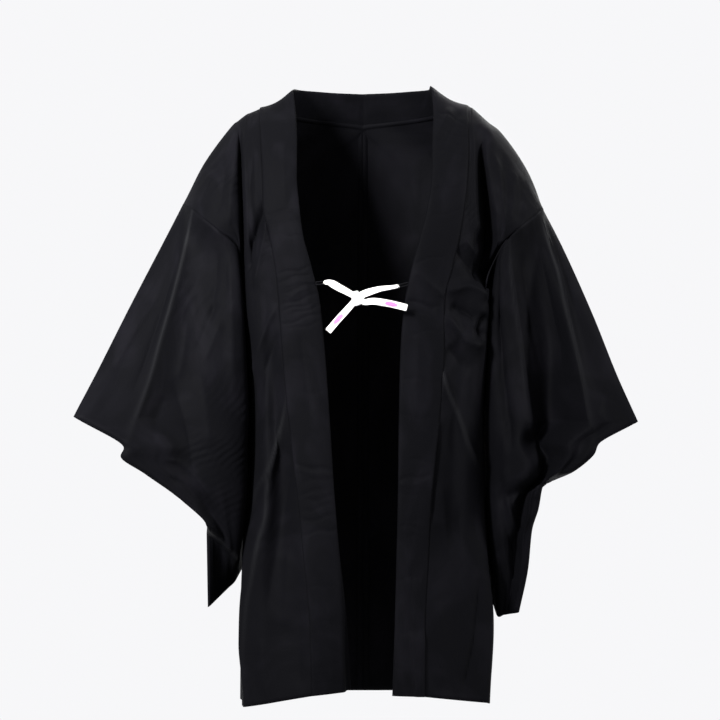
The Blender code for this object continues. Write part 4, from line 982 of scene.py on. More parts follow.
def sleeve_grids(levels, mirror, outer, limb, furi, cuff_back, creases, side):
    """The two layers of a sleeve, with folds, and with a seam allowance inside the armhole."""
    t_run = np.unique(np.append(steps(SLEEVE_KNOTS, SLEEVE_ROWS), SEAM_ROWS))
    u = steps(SLEEVE_U, SLEEVE_COLUMNS)
    front, back = sleeve_layers(levels, mirror, outer, limb, furi, cuff_back, creases, t_run, u)
    closed = (t_run <= CUFF_TIP + 1e-9) | (t_run >= CUFF_END - 1e-9)
    held = np.where(closed[:, None], ease(u / 0.07)[None], 1.0)
    held = held * ease((1 - t_run) / 0.04)[:, None] * ease(t_run / 0.02 + 0.1)[:, None]
    made = []
    for layer, name, way, seed in ((front, "sleeve_" + side, -1, 11),
                                   (back, "sleeve_back_" + side, 1, 15)):
        out = normals(layer, (0, way, 0))
        height = folds(layer, name) * ease(np.abs(out[..., 1]) * 2.2) + drift(layer, seed + mirror)
        height = height * held
        row_reach = np.concatenate([[0], np.cumsum(
            np.linalg.norm(np.diff(layer, axis=0), axis=-1).mean(axis=1))])
        dip = SEAM_DIP * np.exp(-(row_reach / SEAM_ROLL) ** 2)[:, None]
        height = height - dip * ease(np.abs(out[..., 1]) * 1.6)
        made.append(layer + out * height[..., None])
    front, back = made
    back[closed, 0] = front[closed, 0]
    back[-1] = front[-1]
    front[0, 0] = back[0, 0]
    grids = []
    for layer, way in ((front, -1), (back, 1)):
        out = normals(layer, (0, way, 0))
        rows = tucked(layer.transpose(1, 0, 2), out.transpose(1, 0, 2), "first", 3.0, 1.2)
        grids.append(rows.transpose(1, 0, 2))
    shared = (grids[0][:2, 0] + grids[1][:2, 0]) / 2
    for layer in grids:
        layer[:2, 0] = shared
    if mirror:
        return [grids[0], grids[1][:, ::-1]]
    return [grids[0][:, ::-1], grids[1]]

# ---------------------------------------------------------------- loops, ties and knot

TIE_RIGHT = [(-48, -131, -236), (-41, -135, -236), (-28, -138, -243), (-15, -140, -250)]
TIE_LEFT = [(44, -131, -240), (34, -135, -242), (20, -138, -244), (1, -140, -250)]
TAIL_RIGHT = [(2, -140, -260), (13, -142, -259), (33, -141, -262), (54, -138, -267)]
TAIL_LEFT = [(-13, -140, -262), (-21, -142, -271), (-32, -141, -283), (-43, -138, -296)]
KNOT_CENTRE = (-7, -140, -255)
ROUTE_RIGHT = TIE_RIGHT + [KNOT_CENTRE] + TAIL_RIGHT
ROUTE_LEFT = TIE_LEFT + [KNOT_CENTRE] + TAIL_LEFT
TIE_PITCH = 0.9         # distance between two rows of plaits
TIE_ROUND = 24          # points round a tie
# width along each tie, from its loop through the knot to its bare end
WIDTHS_RIGHT = ((0, 0.04, 0.13, 0.33, 0.43, 0.55, 0.75, 1),
                (3.4, 4.4, 8.0, 6.6, 6.0, 6.4, 7.4, 7.2))
WIDTHS_LEFT = ((0, 0.08, 0.20, 0.40, 0.50, 0.60, 0.80, 1),
               (3.2, 3.5, 5.2, 7.6, 6.0, 6.6, 7.2, 7.2))
LOOP_ROW = 0.35


def path_of(route, pitch):
    """A route as points an even pitch apart, in millimetres."""
    fine = flowing(np.linspace(0, 1, len(route)), route, np.linspace(0, 1, 400))
    reach = np.concatenate([[0], np.cumsum(np.linalg.norm(np.diff(fine, axis=0), axis=1))])
    count = int(reach[-1] / pitch) + 1
    at = np.linspace(0, reach[-1], count)
    return np.stack([np.interp(at, reach, fine[:, k]) for k in range(3)], axis=1), at


def frame_along(path, facing=(0, -1, 0)):
    """Unit vectors along a path, across it and out of its face."""
    way = np.gradient(path, axis=0)
    way /= np.linalg.norm(way, axis=1, keepdims=True)
    across = np.cross(way, np.broadcast_to(facing, way.shape))
    across /= np.linalg.norm(across, axis=1, keepdims=True)
    return way, across, np.cross(across, way)


def tube(name, path, across, out, widths, thicknesses, round_points, squareness, ring=False):
    """A tube of flattened section with closed ends, or run round into a ring.

    Gives the mesh and the turns of its points round the section.
    """
    turn = np.linspace(0, math.tau, round_points, endpoint=False)
    c, s = np.cos(turn), np.sin(turn)
    c = np.sign(c) * np.abs(c) ** squareness
    s = np.sign(s) * np.abs(s) ** squareness
    half_w, half_t = widths[:, None, None] / 2, thicknesses[:, None, None] / 2
    rings = (path[:, None] + across[:, None] * (c[:, None] * half_w)
             + out[:, None] * (s[:, None] * half_t))
    rows = len(path)
    faces = []
    for r in range(rows if ring else rows - 1):
        below = (r + 1) % rows * round_points
        for k in range(round_points):
            after = (k + 1) % round_points
            faces.append([r * round_points + k, r * round_points + after,
                          below + after, below + k])
    if ring:
        return shell_of(name, rings.reshape(-1, 3), faces), turn
    first, last = rows * round_points, rows * round_points + 1
    end = (rows - 1) * round_points
    for k in range(round_points):
        after = (k + 1) % round_points
        faces.append([after, k, first])
        faces.append([end + k, end + after, last])
    points = np.concatenate([rings.reshape(-1, 3), path[:1], path[-1:]])
    return shell_of(name, points, faces), turn


def shell_of(name, points, faces):
    """A closed mesh on points in millimetres, with every face turned outwards."""
    mesh = bpy.data.meshes.new(name)
    mesh.from_pydata((points * MM).tolist(), [], faces)
    outwards(mesh)
    mesh.shade_smooth()
    return mesh


def put(mesh, name, kind, values):
    """Stores one value for each point of a mesh."""
    layer = mesh.attributes.new(name, kind, "POINT")
    values = np.asarray(values, np.float32)
    layer.data.foreach_set("vector" if kind == "FLOAT_VECTOR" else "value", values.reshape(-1))


def plait_nodes(braid):
    """A node tree that sets a plait on each marked point of a tie and joins them to it."""
    tree = bpy.data.node_groups.new("plaits", "GeometryNodeTree")
    face = tree.interface
    face.new_socket("Geometry", in_out="INPUT", socket_type="NodeSocketGeometry")
    for label, value in (("Plait length", 0.0026), ("Plait width", 0.0012),
                         ("Plait height", 0.0007)):
        size = face.new_socket(label, in_out="INPUT", socket_type="NodeSocketFloat")
        size.default_value = value
        size.subtype = "DISTANCE"
    face.new_socket("Geometry", in_out="OUTPUT", socket_type="NodeSocketGeometry")
    nodes, links = tree.nodes, tree.links
    start, end = nodes.new("NodeGroupInput"), nodes.new("NodeGroupOutput")
    ball = nodes.new("GeometryNodeMeshUVSphere")
    ball.inputs["Segments"].default_value = 6
    ball.inputs["Rings"].default_value = 4
    ball.inputs["Radius"].default_value = 0.5
    size = nodes.new("ShaderNodeCombineXYZ")
    for axis, label in zip("XYZ", ("Plait width", "Plait height", "Plait length")):
        links.new(start.outputs[label], size.inputs[axis])
    shape = nodes.new("GeometryNodeTransform")
    links.new(ball.outputs["Mesh"], shape.inputs["Geometry"])
    links.new(size.outputs["Vector"], shape.inputs["Scale"])
    turned = nodes.new("FunctionNodeAxesToRotation")
    turned.primary_axis = "Z"
    turned.secondary_axis = "Y"
    marked = None
    for label, kind, target in (("lean", "FLOAT_VECTOR", "Primary Axis"),
                                ("outward", "FLOAT_VECTOR", "Secondary Axis"),
                                ("plait", "BOOLEAN", None)):
        read = nodes.new("GeometryNodeInputNamedAttribute")
        read.data_type = kind
        read.inputs["Name"].default_value = label
        if target:
            links.new(read.outputs["Attribute"], turned.inputs[target])
        else:
            marked = read.outputs["Attribute"]
    copies = nodes.new("GeometryNodeInstanceOnPoints")
    links.new(start.outputs["Geometry"], copies.inputs["Points"])
    links.new(marked, copies.inputs["Selection"])
    links.new(shape.outputs["Geometry"], copies.inputs["Instance"])
    links.new(turned.outputs["Rotation"], copies.inputs["Rotation"])
    real = nodes.new("GeometryNodeRealizeInstances")
    links.new(copies.outputs["Instances"], real.inputs["Geometry"])
    both = nodes.new("GeometryNodeJoinGeometry")
    links.new(real.outputs["Geometry"], both.inputs["Geometry"])
    links.new(start.outputs["Geometry"], both.inputs["Geometry"])
    finish = nodes.new("GeometryNodeSetMaterial")
    finish.inputs["Material"].default_value = braid
    links.new(both.outputs["Geometry"], finish.inputs["Geometry"])
    smooth_faces = nodes.new("GeometryNodeSetShadeSmooth")
    links.new(finish.outputs["Geometry"], smooth_faces.inputs["Geometry"])
    links.new(smooth_faces.outputs["Geometry"], end.inputs["Geometry"])
    return tree


def plaited(name, mesh, tree, sizes, braid):
    """The mesh with its plaits on it, as a plain mesh."""
    rough = bpy.data.objects.new(name + "_core", mesh)
    bpy.context.scene.collection.objects.link(rough)
    making = rough.modifiers.new("plaits", "NODES")
    making.node_group = tree
    for item in tree.interface.items_tree:
        if item.in_out == "INPUT" and item.name in sizes:
            making[item.identifier] = sizes[item.name]
    graph = bpy.context.evaluated_depsgraph_get()
    made = bpy.data.meshes.new_from_object(rough.evaluated_get(graph), depsgraph=graph)
    bpy.data.objects.remove(rough, do_unlink=True)
    made.name = name
    if not made.materials:
        made.materials.append(braid)
    made.shade_smooth()
    piece = bpy.data.objects.new(name, made)
    bpy.context.scene.collection.objects.link(piece)
    return piece


def marks(mesh, path, way, across, out, turn, lean, at):
    """Marks the points of a tie that carry plaits, with the way that each one lies."""
    rows, count = len(path), len(turn)
    side = np.cos(turn)
    face = np.sin(turn)
    # Plaits lean towards the middle from both edges, as in a flat braid.
    leaning = np.radians(lean) * np.sign(side) * np.where(np.abs(side) > 0.12, 1, 0)
    leans = (way[:, None] * np.cos(leaning)[:, None]
             - across[:, None] * (np.sin(leaning) * np.sign(face + 1e-9))[:, None])
    outs = across[:, None] * side[:, None] * 0.35 + out[:, None] * face[:, None]
    outs /= np.linalg.norm(outs, axis=2, keepdims=True)
    number = np.arange(count)
    chosen = (np.arange(rows)[:, None] + number[None]) % 2 == 0
    chosen[:1] = chosen[-1:] = False
    pad = ((0, 2), (0, 0))
    put(mesh, "lean", "FLOAT_VECTOR", np.pad(leans.reshape(-1, 3), pad, constant_values=1))
    put(mesh, "outward", "FLOAT_VECTOR", np.pad(outs.reshape(-1, 3), pad, constant_values=1))
    flags = np.append(chosen.reshape(-1), [False, False])
    layer = mesh.attributes.new("plait", "BOOLEAN", "POINT")
    layer.data.foreach_set("value", flags)
    ends = at[-1] - np.repeat(at, count)
    put(mesh, "from_end", "FLOAT", np.append(ends, (at[-1], 0)))
    put(mesh, "across", "FLOAT", np.append(np.tile(side, rows), (0, 0)))


def tie(name, route, widths, tree, sizes, braid):
    path, at = path_of(route, TIE_PITCH)
    way, across, out = frame_along(path)
    share = at / at[-1]
    width = smooth(widths[0], widths[1], share)[:, 0]
    thick = 1.5 + 0.3 * bump(share, 0, 0.1)
    # The flat braid tilts a little along its way, so that it doesn't lie dead flat.
    tilt = np.radians(9 * np.sin(share * 9 + len(name)))[:, None]
    across, out = (across * np.cos(tilt) + out * np.sin(tilt),
                   out * np.cos(tilt) - across * np.sin(tilt))
    mesh, turn = tube(name, path, across, out, width, thick, TIE_ROUND, 0.8)
    marks(mesh, path, way, across, out, turn, 32, at)
    return plaited(name, mesh, tree, sizes, braid), path, at[-1]


# The knot: two turns of the braid across each other, round a filled core.
# slant in degrees, width of the braid, height and depth of the turn, and shift to the side
Turn = namedtuple("Turn", "slant width height depth shift")
KNOT_TURNS = (Turn(-22, 9.6, 15.2, 8.6, -1.0), Turn(40, 8.2, 13.4, 6.8, 2.0))
KNOT_BRAID = 1.9         # thickness of the braid in the knot
KNOT_CORE = (14.0, 7.4, 14.0)


def knot_turn(name, turn_row, tree, sizes, braid):
    angle = np.linspace(0, math.tau, 44, endpoint=False)
    slant = math.radians(turn_row.slant)
    up = np.array((math.sin(slant), 0, math.cos(slant)))
    side = np.array((math.cos(slant), 0, -math.sin(slant)))
    s, c = np.sin(angle), np.cos(angle)
    s = np.sign(s) * np.abs(s) ** 0.8
    c = np.sign(c) * np.abs(c) ** 0.8
    path = (np.array(KNOT_CENTRE) + side * turn_row.shift + up * (s * turn_row.height / 2)[:, None]
            + np.array((0, -1, 0)) * (c * turn_row.depth / 2)[:, None])
    way = np.roll(path, -1, axis=0) - np.roll(path, 1, axis=0)
    way /= np.linalg.norm(way, axis=1, keepdims=True)
    across = np.broadcast_to(side, path.shape)
    out = np.cross(across, way)
    out *= np.sign((out * (path - np.array(KNOT_CENTRE))).sum(axis=1, keepdims=True))
    width = turn_row.width * (1 - 0.12 * np.abs(s))
    mesh, turn = tube(name, path, across, out, width, np.full(44, KNOT_BRAID), TIE_ROUND, 0.8,
                      ring=True)
    rows, count = len(path), len(turn)
    face = np.sin(turn)
    leaning = np.radians(32) * np.sign(np.cos(turn))
    leans = (way[:, None] * np.cos(leaning)[:, None]
             - across[:, None] * (np.sin(leaning) * np.sign(face + 1e-9))[:, None])
    outs = (across[:, None] * np.cos(turn)[:, None] * 0.35 + out[:, None] * face[:, None])
    put(mesh, "lean", "FLOAT_VECTOR", leans.reshape(-1, 3))
    put(mesh, "outward", "FLOAT_VECTOR", outs.reshape(-1, 3))
    chosen = (np.arange(rows)[:, None] + np.arange(count)[None]) % 2 == 0
    chosen &= (face > -0.2)[None]
    layer = mesh.attributes.new("plait", "BOOLEAN", "POINT")
    layer.data.foreach_set("value", chosen.reshape(-1))
    put(mesh, "from_end", "FLOAT", np.full(rows * count, 999.0))
    put(mesh, "across", "FLOAT", np.tile(np.cos(turn), rows))
    return plaited(name, mesh, tree, sizes, braid)


def knot_core(name, braid):
    """The filled middle of the knot."""
    across, round_it = np.meshgrid(np.linspace(0, math.pi, 17)[1:-1],
                                   np.linspace(0, math.tau, 24, endpoint=False), indexing="ij")
    ball = np.stack([np.cos(across), np.sin(across) * np.cos(round_it),
                     np.sin(across) * np.sin(round_it)], axis=2)
    points = np.concatenate([ball.reshape(-1, 3), [(1, 0, 0), (-1, 0, 0)]])
    points = points * np.array(KNOT_CORE) / 2 + np.array(KNOT_CENTRE)
    faces = []
    rows, count = across.shape
    for r in range(rows - 1):
        for k in range(count):
            after = (k + 1) % count
            faces.append([r * count + k, r * count + after,
                          (r + 1) * count + after, (r + 1) * count + k])
    for k in range(count):
        after = (k + 1) % count
        faces.append([after, k, rows * count])
        faces.append([(rows - 1) * count + k, (rows - 1) * count + after, rows * count + 1])
    mesh = shell_of(name, points, faces)
    put(mesh, "from_end", "FLOAT", np.full(len(points), 999.0))
    put(mesh, "across", "FLOAT", np.zeros(len(points)))
    return piece_of(name, mesh, braid)


def joined(name, objects):
    """Several objects as one plain mesh object."""
    both = bmesh.new()
    for number, obj in enumerate(objects):
        both.from_mesh(obj.data)
    mesh = bpy.data.meshes.new(name)
    both.to_mesh(mesh)
    both.free()
    mesh.materials.append(objects[0].data.materials[0])
    mesh.shade_smooth()
    for obj in objects:
        bpy.data.objects.remove(obj, do_unlink=True)
    piece = bpy.data.objects.new(name, mesh)
    bpy.context.scene.collection.objects.link(piece)
    return piece


LOOP_LEVEL = -237
LOOP_CORD = 2.0
LOOP_HEIGHT = 3.2
LOOP_REACH = (0.4, 1.8)  # how far a loop runs into the band, and on into the tie
STRAND = 1.25            # thickness of one of the loop's two twisted strands
LOOP_TWISTS = 9


def loop_piece(name, inner_table, tie_start, finish):
    """The small twisted cord loop sewn into the collar's inner edge."""
    edge = smooth(FRONT_T, inner_table, np.linspace(0, 1, 400))
    root = edge[np.argmin(np.abs(edge[:, 2] - LOOP_LEVEL) + (edge[:, 1] > -100) * 1000)]
    way = np.asarray(tie_start, float) - root
    length = np.linalg.norm(way)
    way /= length
    up = np.array((0, 0, 1.0))
    out = np.cross(way, up)
    out /= np.linalg.norm(out)
    up = np.cross(out, way)
    half = LOOP_HEIGHT / 2
    start, stop = half - LOOP_REACH[0], length + LOOP_REACH[1] - half
    turn = np.radians(np.linspace(90, 270, 14))
    near = [(start + half * math.cos(a), half * math.sin(a)) for a in turn]
    far = [(stop - half * math.cos(a), -half * math.sin(a)) for a in turn]
    flat = np.array(near + far + near[:1])
    reach = np.concatenate([[0], np.cumsum(np.linalg.norm(np.diff(flat, axis=0), axis=1))])
    at = np.linspace(0, reach[-1], int(reach[-1] / LOOP_ROW), endpoint=False)
    flat = np.stack([np.interp(at, reach, flat[:, k]) for k in range(2)], axis=1)
    path = root + way * flat[:, :1] + up * flat[:, 1:]
    along_it = np.roll(path, -1, axis=0) - np.roll(path, 1, axis=0)
    along_it /= np.linalg.norm(along_it, axis=1, keepdims=True)
    side = np.cross(along_it, out)
    pieces = []
    for strand in range(2):
        angle = (math.tau * LOOP_TWISTS * at / reach[-1] + math.pi * strand)[:, None]
        ways = side * np.cos(angle) + out * np.sin(angle)
        centre = path + ways * (LOOP_CORD - STRAND) / 2
        mesh, _ = tube(name, centre, ways, np.cross(along_it, ways), np.full(len(at), STRAND),
                       np.full(len(at), STRAND), 8, 1.0, ring=True)
        pieces.append(piece_of(name + "_strand", mesh, finish))
    return joined(name, pieces)


# ---------------------------------------------------------------- materials


class Value:
    """A number that varies over a surface. Arithmetic on it adds Math nodes to its graph."""

    def __init__(self, graph, socket):
        self.graph = graph
        self.socket = socket

    def maths(self, operation, *numbers, clamp=False):
        settings = {"operation": operation, "use_clamp": clamp}
        return self.graph.node("ShaderNodeMath", settings, dict(enumerate(numbers)))["Value"]

    def __add__(self, other):
        return self.maths("ADD", self, other)

    def __radd__(self, other):
        return self.maths("ADD", other, self)

    def __sub__(self, other):
        return self.maths("SUBTRACT", self, other)

    def __rsub__(self, other):
        return self.maths("SUBTRACT", other, self)

    def __mul__(self, other):
        return self.maths("MULTIPLY", self, other)

    def __rmul__(self, other):
        return self.maths("MULTIPLY", other, self)

    def __truediv__(self, other):
        return self.maths("DIVIDE", self, other)

    def __rtruediv__(self, other):
        return self.maths("DIVIDE", other, self)

    def __pow__(self, other):
        return self.maths("POWER", self, other)

    def __rpow__(self, other):
        return self.maths("POWER", other, self)

    def sine(self):
        return self.maths("SINE", self)

    def clamped(self):
        return self.maths("ADD", self, 0.0, clamp=True)

    def rising(self, low, high):
        """0 below low and 1 above high, with an even rise between."""
        return ((self - low) / (high - low)).clamped()


class Graph:
    """A material's nodes around its own shader."""

    def __init__(self, name, diffuse):
        self.material = bpy.data.materials.new(name)
        self.material.use_nodes = True
        self.material.diffuse_color = (*diffuse[:3], 1)
        self.tree = self.material.node_tree
        self.shader = self.tree.nodes["Principled BSDF"]

    def node(self, kind, settings=(), sockets=()):
        """Adds a node: settings first, then values or links. Gives its outputs by name."""
        made = self.tree.nodes.new(kind)
        for label, value in dict(settings).items():
            setattr(made, label, value)
        for label, value in dict(sockets).items():
            self.set(made.inputs[label], value)
        return {out.name: Value(self, out) for out in made.outputs if out.enabled}

    def set(self, socket, value):
        if isinstance(value, Value):
            self.tree.links.new(value.socket, socket)
        else:
            socket.default_value = value

    def finish(self, **sockets):
        """Sets sockets of the shader, named with _ for each space."""
        for label, value in sockets.items():
            self.set(self.shader.inputs[label.replace("_", " ")], value)
        return self.material

    def noise(self, place, scale, detail=2.0, stretch=(1, 1, 1), turn=0.0, distortion=0.0):
        moved = self.node("ShaderNodeMapping", {}, {
            "Vector": place, "Rotation": (0, 0, math.radians(turn)), "Scale": stretch})
        made = self.node("ShaderNodeTexNoise", {}, {
            "Vector": moved["Vector"], "Scale": scale, "Detail": detail,
            "Distortion": distortion})
        return made["Fac" if "Fac" in made else "Factor"]

    def blend(self, share, first, second):
        made = self.node("ShaderNodeMix", {"data_type": "RGBA"},
                         {"Factor": share, "A": first, "B": second})
        return made["Result"]

    def bump(self, height, distance, strength=1.0):
        return self.node("ShaderNodeBump", {}, {
            "Height": height, "Distance": distance, "Strength": strength})["Normal"]


def with_alpha(colour):
    return (*colour, 1.0)


def silk_material(name, colours, ripple):
    """Black crepe silk with a faint woven figure of drifting clouds."""
    graph = Graph(name, colours.silk)
    place = graph.node("ShaderNodeUVMap", {"uv_map": "cloth"})["UV"]
    clouds = graph.noise(place, 20, 3, (1.0, 0.55, 1), 12, 0.9)
    lines = graph.noise(place, 70, 2, (1.0, 0.5, 1), 8, 0.4)
    figure = clouds.rising(0.45, 0.66) * (0.5 + 0.5 * lines.rising(0.30, 0.60))
    crepe = graph.noise(place, 900, 2, (1.0, 0.6, 1))
    crinkle = graph.noise(place, 150, 3, (1.0, 0.45, 1), 38)
    creases = graph.noise(place, 40, 4, (1.0, 0.4, 1), -24)
    crest = graph.node("ShaderNodeAttribute", {"attribute_type": "GEOMETRY",
                                               "attribute_name": "crest"})["Fac"]
    height = 0.5 * crepe + 1.5 * ripple * crinkle + 2.2 * ripple * creases + 0.04 * figure
    colour = graph.blend(figure, with_alpha(colours.silk), with_alpha(colours.silk_figure))
    # Along the crests the base colour pales towards the crest colour, a painted highlight, and the roughness
    # drops, as pressed silk really is glossier.
    colour = graph.blend(crest, colour, with_alpha(colours.silk_crest_highlight))
    rough = 0.60 - 0.03 * figure + 0.10 * crepe - 0.15 * crest
    graph.shader.inputs["Specular IOR Level"].default_value = 0.013
    graph.shader.inputs["Sheen Weight"].default_value = 0.003
    graph.shader.inputs["Sheen Roughness"].default_value = 0.5
    graph.shader.inputs["Sheen Tint"].default_value = with_alpha(colours.sheen)
    return graph.finish(Base_Color=colour, Roughness=rough,
                        Normal=graph.bump(height, 0.0007, 0.8))


def cord_material(colours):
    """Black twisted silk cord: fine threads and a dull shine."""
    graph = Graph("loop_cord", colours.silk)
    place = graph.node("ShaderNodeTexCoord")["Object"]
    thread = graph.noise(place, 4200, 2, (1, 1, 0.4))
    colour = graph.blend(thread, with_alpha(colours.silk), with_alpha(colours.silk_figure))
    graph.shader.inputs["Specular IOR Level"].default_value = 0.04
    return graph.finish(Base_Color=colour, Roughness=0.6 + 0.2 * thread,
                        Normal=graph.bump(thread, 0.0002))


def braid_material(colours):
    """White plaited silk with one pink dyed oval near each bare end."""
    graph = Graph("tie_braid", colours.braid)
    place = graph.node("ShaderNodeTexCoord")["Object"]
    attribute = {"attribute_type": "GEOMETRY"}
    ends = graph.node("ShaderNodeAttribute", {**attribute, "attribute_name": "from_end"})["Fac"]
    side = graph.node("ShaderNodeAttribute", {**attribute, "attribute_name": "across"})["Fac"]
    ragged = graph.noise(place, 900, 2)
    away = ((ends - SPOT_PLACE) / SPOT_HALF_LENGTH) ** 2 + ((side - 0.05) / SPOT_SHARE) ** 2
    spot = 1 - (away + 0.9 * (ragged - 0.5)).rising(0.82, 1.12)
    fibre = graph.noise(place, 3600, 2, (1, 1, 0.5))
    white = graph.blend(fibre, with_alpha(colours.braid_shade), with_alpha(colours.braid))
    pink = graph.blend(fibre.rising(0.3, 0.7), with_alpha(colours.spot_pale),
                       with_alpha(colours.spot))
    colour = graph.blend(spot, white, pink)
    graph.shader.inputs["Sheen Weight"].default_value = 0.15
    return graph.finish(Base_Color=colour, Roughness=0.5 + 0.15 * fibre,
                        Normal=graph.bump(fibre, 0.00015))


SPOT_PLACE = 20.0        # middle of the dyed oval, from the bare end
SPOT_HALF_LENGTH = 8.6
SPOT_SHARE = 0.78        # its half width, as a share of the tie's


def floor_material(colours):
    graph = Graph("floor", colours.floor)
    place = graph.node("ShaderNodeTexCoord")["Object"]
    grain = graph.noise(place, 9, 3)
    shade = tuple(part * 0.97 for part in colours.floor)
    colour = graph.blend(grain, with_alpha(shade), with_alpha(colours.floor))
    return graph.finish(Base_Color=colour, Roughness=0.8 + 0.1 * grain)


# ---------------------------------------------------------------- light, floor and camera

CAMERA_PLACE = (-0.00375, -5.06, -0.33125)
CAMERA_LENS = 200.0
FLOOR_LEVEL = -2.2
FLOOR_RADIUS = 13.0
# Soft boxes: place, aim, power in watts, width, and how wide the box throws its light.
Lamp = namedtuple("Lamp", "name place aim power size spread")
LAMPS = (
    Lamp("key", (-2.1, -2.9, 1.3), (-1.05, 0, 0.16), 100, 1.2, 46),
    Lamp("side", (2.8, -0.55, 0.9), (0.3, 0, 0.0), 40, 0.6, 100),
    Lamp("top", (-0.3, 0.1, 2.6), (0, 0, -0.35), 24, 1.4, 160),
    Lamp("behind", (0.9, 3.6, 1.5), (0, 0, -0.3), 45, 2.4, 90),
)


def area_lamp(lamp):
    light = bpy.data.lights.new(lamp.name, "AREA")
    light.energy = lamp.power
    light.shape = "DISK"
    light.size = lamp.size
    light.spread = math.radians(lamp.spread)
    made = bpy.data.objects.new(lamp.name, light)
    made.location = lamp.place
    way = Vector(lamp.aim) - Vector(lamp.place)
    made.rotation_euler = way.to_track_quat("-Z", "Y").to_euler()
    bpy.context.scene.collection.objects.link(made)


def floor_disc(colours):
    mesh = bpy.data.meshes.new("floor")
    disc = bmesh.new()
    bmesh.ops.create_circle(disc, cap_ends=True, segments=96, radius=FLOOR_RADIUS)
    disc.to_mesh(mesh)
    disc.free()
    floor = piece_of("floor", mesh, floor_material(colours))
    floor.location.z = FLOOR_LEVEL
    return floor


def studio_camera():
    lens = bpy.data.cameras.new("camera")
    lens.lens = CAMERA_LENS
    lens.sensor_width = 36.0
    lens.clip_end = 100.0
    made = bpy.data.objects.new("camera", lens)
    made.location = CAMERA_PLACE
    made.rotation_euler = (math.radians(90), 0, 0)
    bpy.context.scene.collection.objects.link(made)
    bpy.context.scene.camera = made


def pale_world(colours):
    world = bpy.data.worlds.new("studio")
    world.use_nodes = True
    ground = world.node_tree.nodes["Background"]
    ground.inputs["Color"].default_value = with_alpha(colours.air)
    ground.inputs["Strength"].default_value = 1.0
    bpy.context.scene.world = world
    bpy.context.scene.view_settings.view_transform = "Standard"


# ---------------------------------------------------------------- sizes, colours, operators


class HaoriSizes(bpy.types.PropertyGroup):
    """Sizes of the haori's finish."""

    silk: bpy.props.FloatProperty(
        name="Silk", description="Thickness of the silk of body and sleeves", default=0.0009,
        min=0.0002, max=0.002, unit="LENGTH", precision=5)
    plait_length: bpy.props.FloatProperty(
        name="Plait length", description="Length of one plait of the ties", default=0.0023,
        min=0.0005, max=0.006, unit="LENGTH", precision=5)
    plait_width: bpy.props.FloatProperty(
        name="Plait width", description="Width of one plait of the ties", default=0.00095,
        min=0.0003, max=0.003, unit="LENGTH", precision=5)
    plait_height: bpy.props.FloatProperty(
        name="Plait height", description="Height of one plait of the ties", default=0.0006,
        min=0.0002, max=0.002, unit="LENGTH", precision=5)


def colour_of(label, description, default):
    return bpy.props.FloatVectorProperty(name=label, description=description, subtype="COLOR",
                                         size=3, min=0, max=1, default=default)


class HaoriColours(bpy.types.PropertyGroup):
    """Colours of the haori and of its studio."""

    silk: colour_of("Silk", "Ground of the black silk", (0.0016, 0.0016, 0.0021))
    silk_figure: colour_of("Figure", "Woven figure of the silk", (0.0027, 0.0026, 0.0035))
    # Painted highlight: the colour that the silk pales to along the pleats' crests.
    silk_crest_highlight: colour_of("Crests", "Silk rubbed pale along its pleats", (0.0064, 0.0065, 0.0072))
    sheen: colour_of("Sheen", "Soft light on the silk's nap", (0.55, 0.57, 0.62))
    braid: colour_of("Braid", "White silk of the ties", (0.86, 0.85, 0.83))
    braid_shade: colour_of("Braid shade", "Shaded fibres of the ties", (0.74, 0.72, 0.69))
    spot: colour_of("Spot", "Pink dye near the ties' ends", (0.86, 0.050, 0.24))
    spot_pale: colour_of("Pale spot", "Thin places of the dye", (0.90, 0.20, 0.38))
    floor: colour_of("Floor", "Studio floor", (0.86, 0.86, 0.87))
    air: colour_of("Background", "Pale air of the studio", (0.93, 0.93, 0.945))


def finished(piece, slot, *nodes):
    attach(piece, "root")
    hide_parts(*nodes)


class HAORI_OT_stage(bpy.types.Operator):
    """Sets the camera, the soft light and the pale floor"""

    bl_idname = "haori.stage"
    bl_label = "Studio"

    def execute(self, context):
        colours = context.scene.haori_colours
        studio_camera()
        pale_world(colours)
        for lamp in LAMPS:
            area_lamp(lamp)
        floor_disc(colours)
        return {"FINISHED"}


class HAORI_OT_ties(bpy.types.Operator):
    """Makes the two plaited ties and their knot"""

    bl_idname = "haori.ties"
    bl_label = "Ties and knot"

    def execute(self, context):
        given = context.scene.haori_sizes
        braid = braid_material(context.scene.haori_colours)
        tree = plait_nodes(braid)
        sizes = {"Plait length": given.plait_length, "Plait width": given.plait_width,
                 "Plait height": given.plait_height}
        for side, route, widths in (("right", ROUTE_RIGHT, WIDTHS_RIGHT),
                                    ("left", ROUTE_LEFT, WIDTHS_LEFT)):
            piece, path, length = tie("himo_" + side, route, widths, tree, sizes, braid)
            finished(piece, "tie_braid", "tie_" + side, "tail_" + side)
            max(widths[1]) * MM
        turns = [knot_turn(f"himo_knot_turn_{number}", row, tree, sizes, braid)
                 for number, row in enumerate(KNOT_TURNS)]
        piece = joined("himo_knot", turns + [knot_core("himo_knot_core", braid)])
        finished(piece, "tie_braid", "knot")
        return {"FINISHED"}


class HAORI_OT_loops(bpy.types.Operator):
    """Makes the two cord loops that carry the ties"""

    bl_idname = "haori.loops"
    bl_label = "Collar loops"

    def execute(self, context):
        cord = cord_material(context.scene.haori_colours)
        for side, table, route in (("right", COLLAR_RIGHT, TIE_RIGHT),
                                   ("left", COLLAR_LEFT, TIE_LEFT)):
            piece = loop_piece("chi_" + side, table, route[0], cord)
            finished(piece, "loop_cord", "loop_" + side)
        return {"FINISHED"}


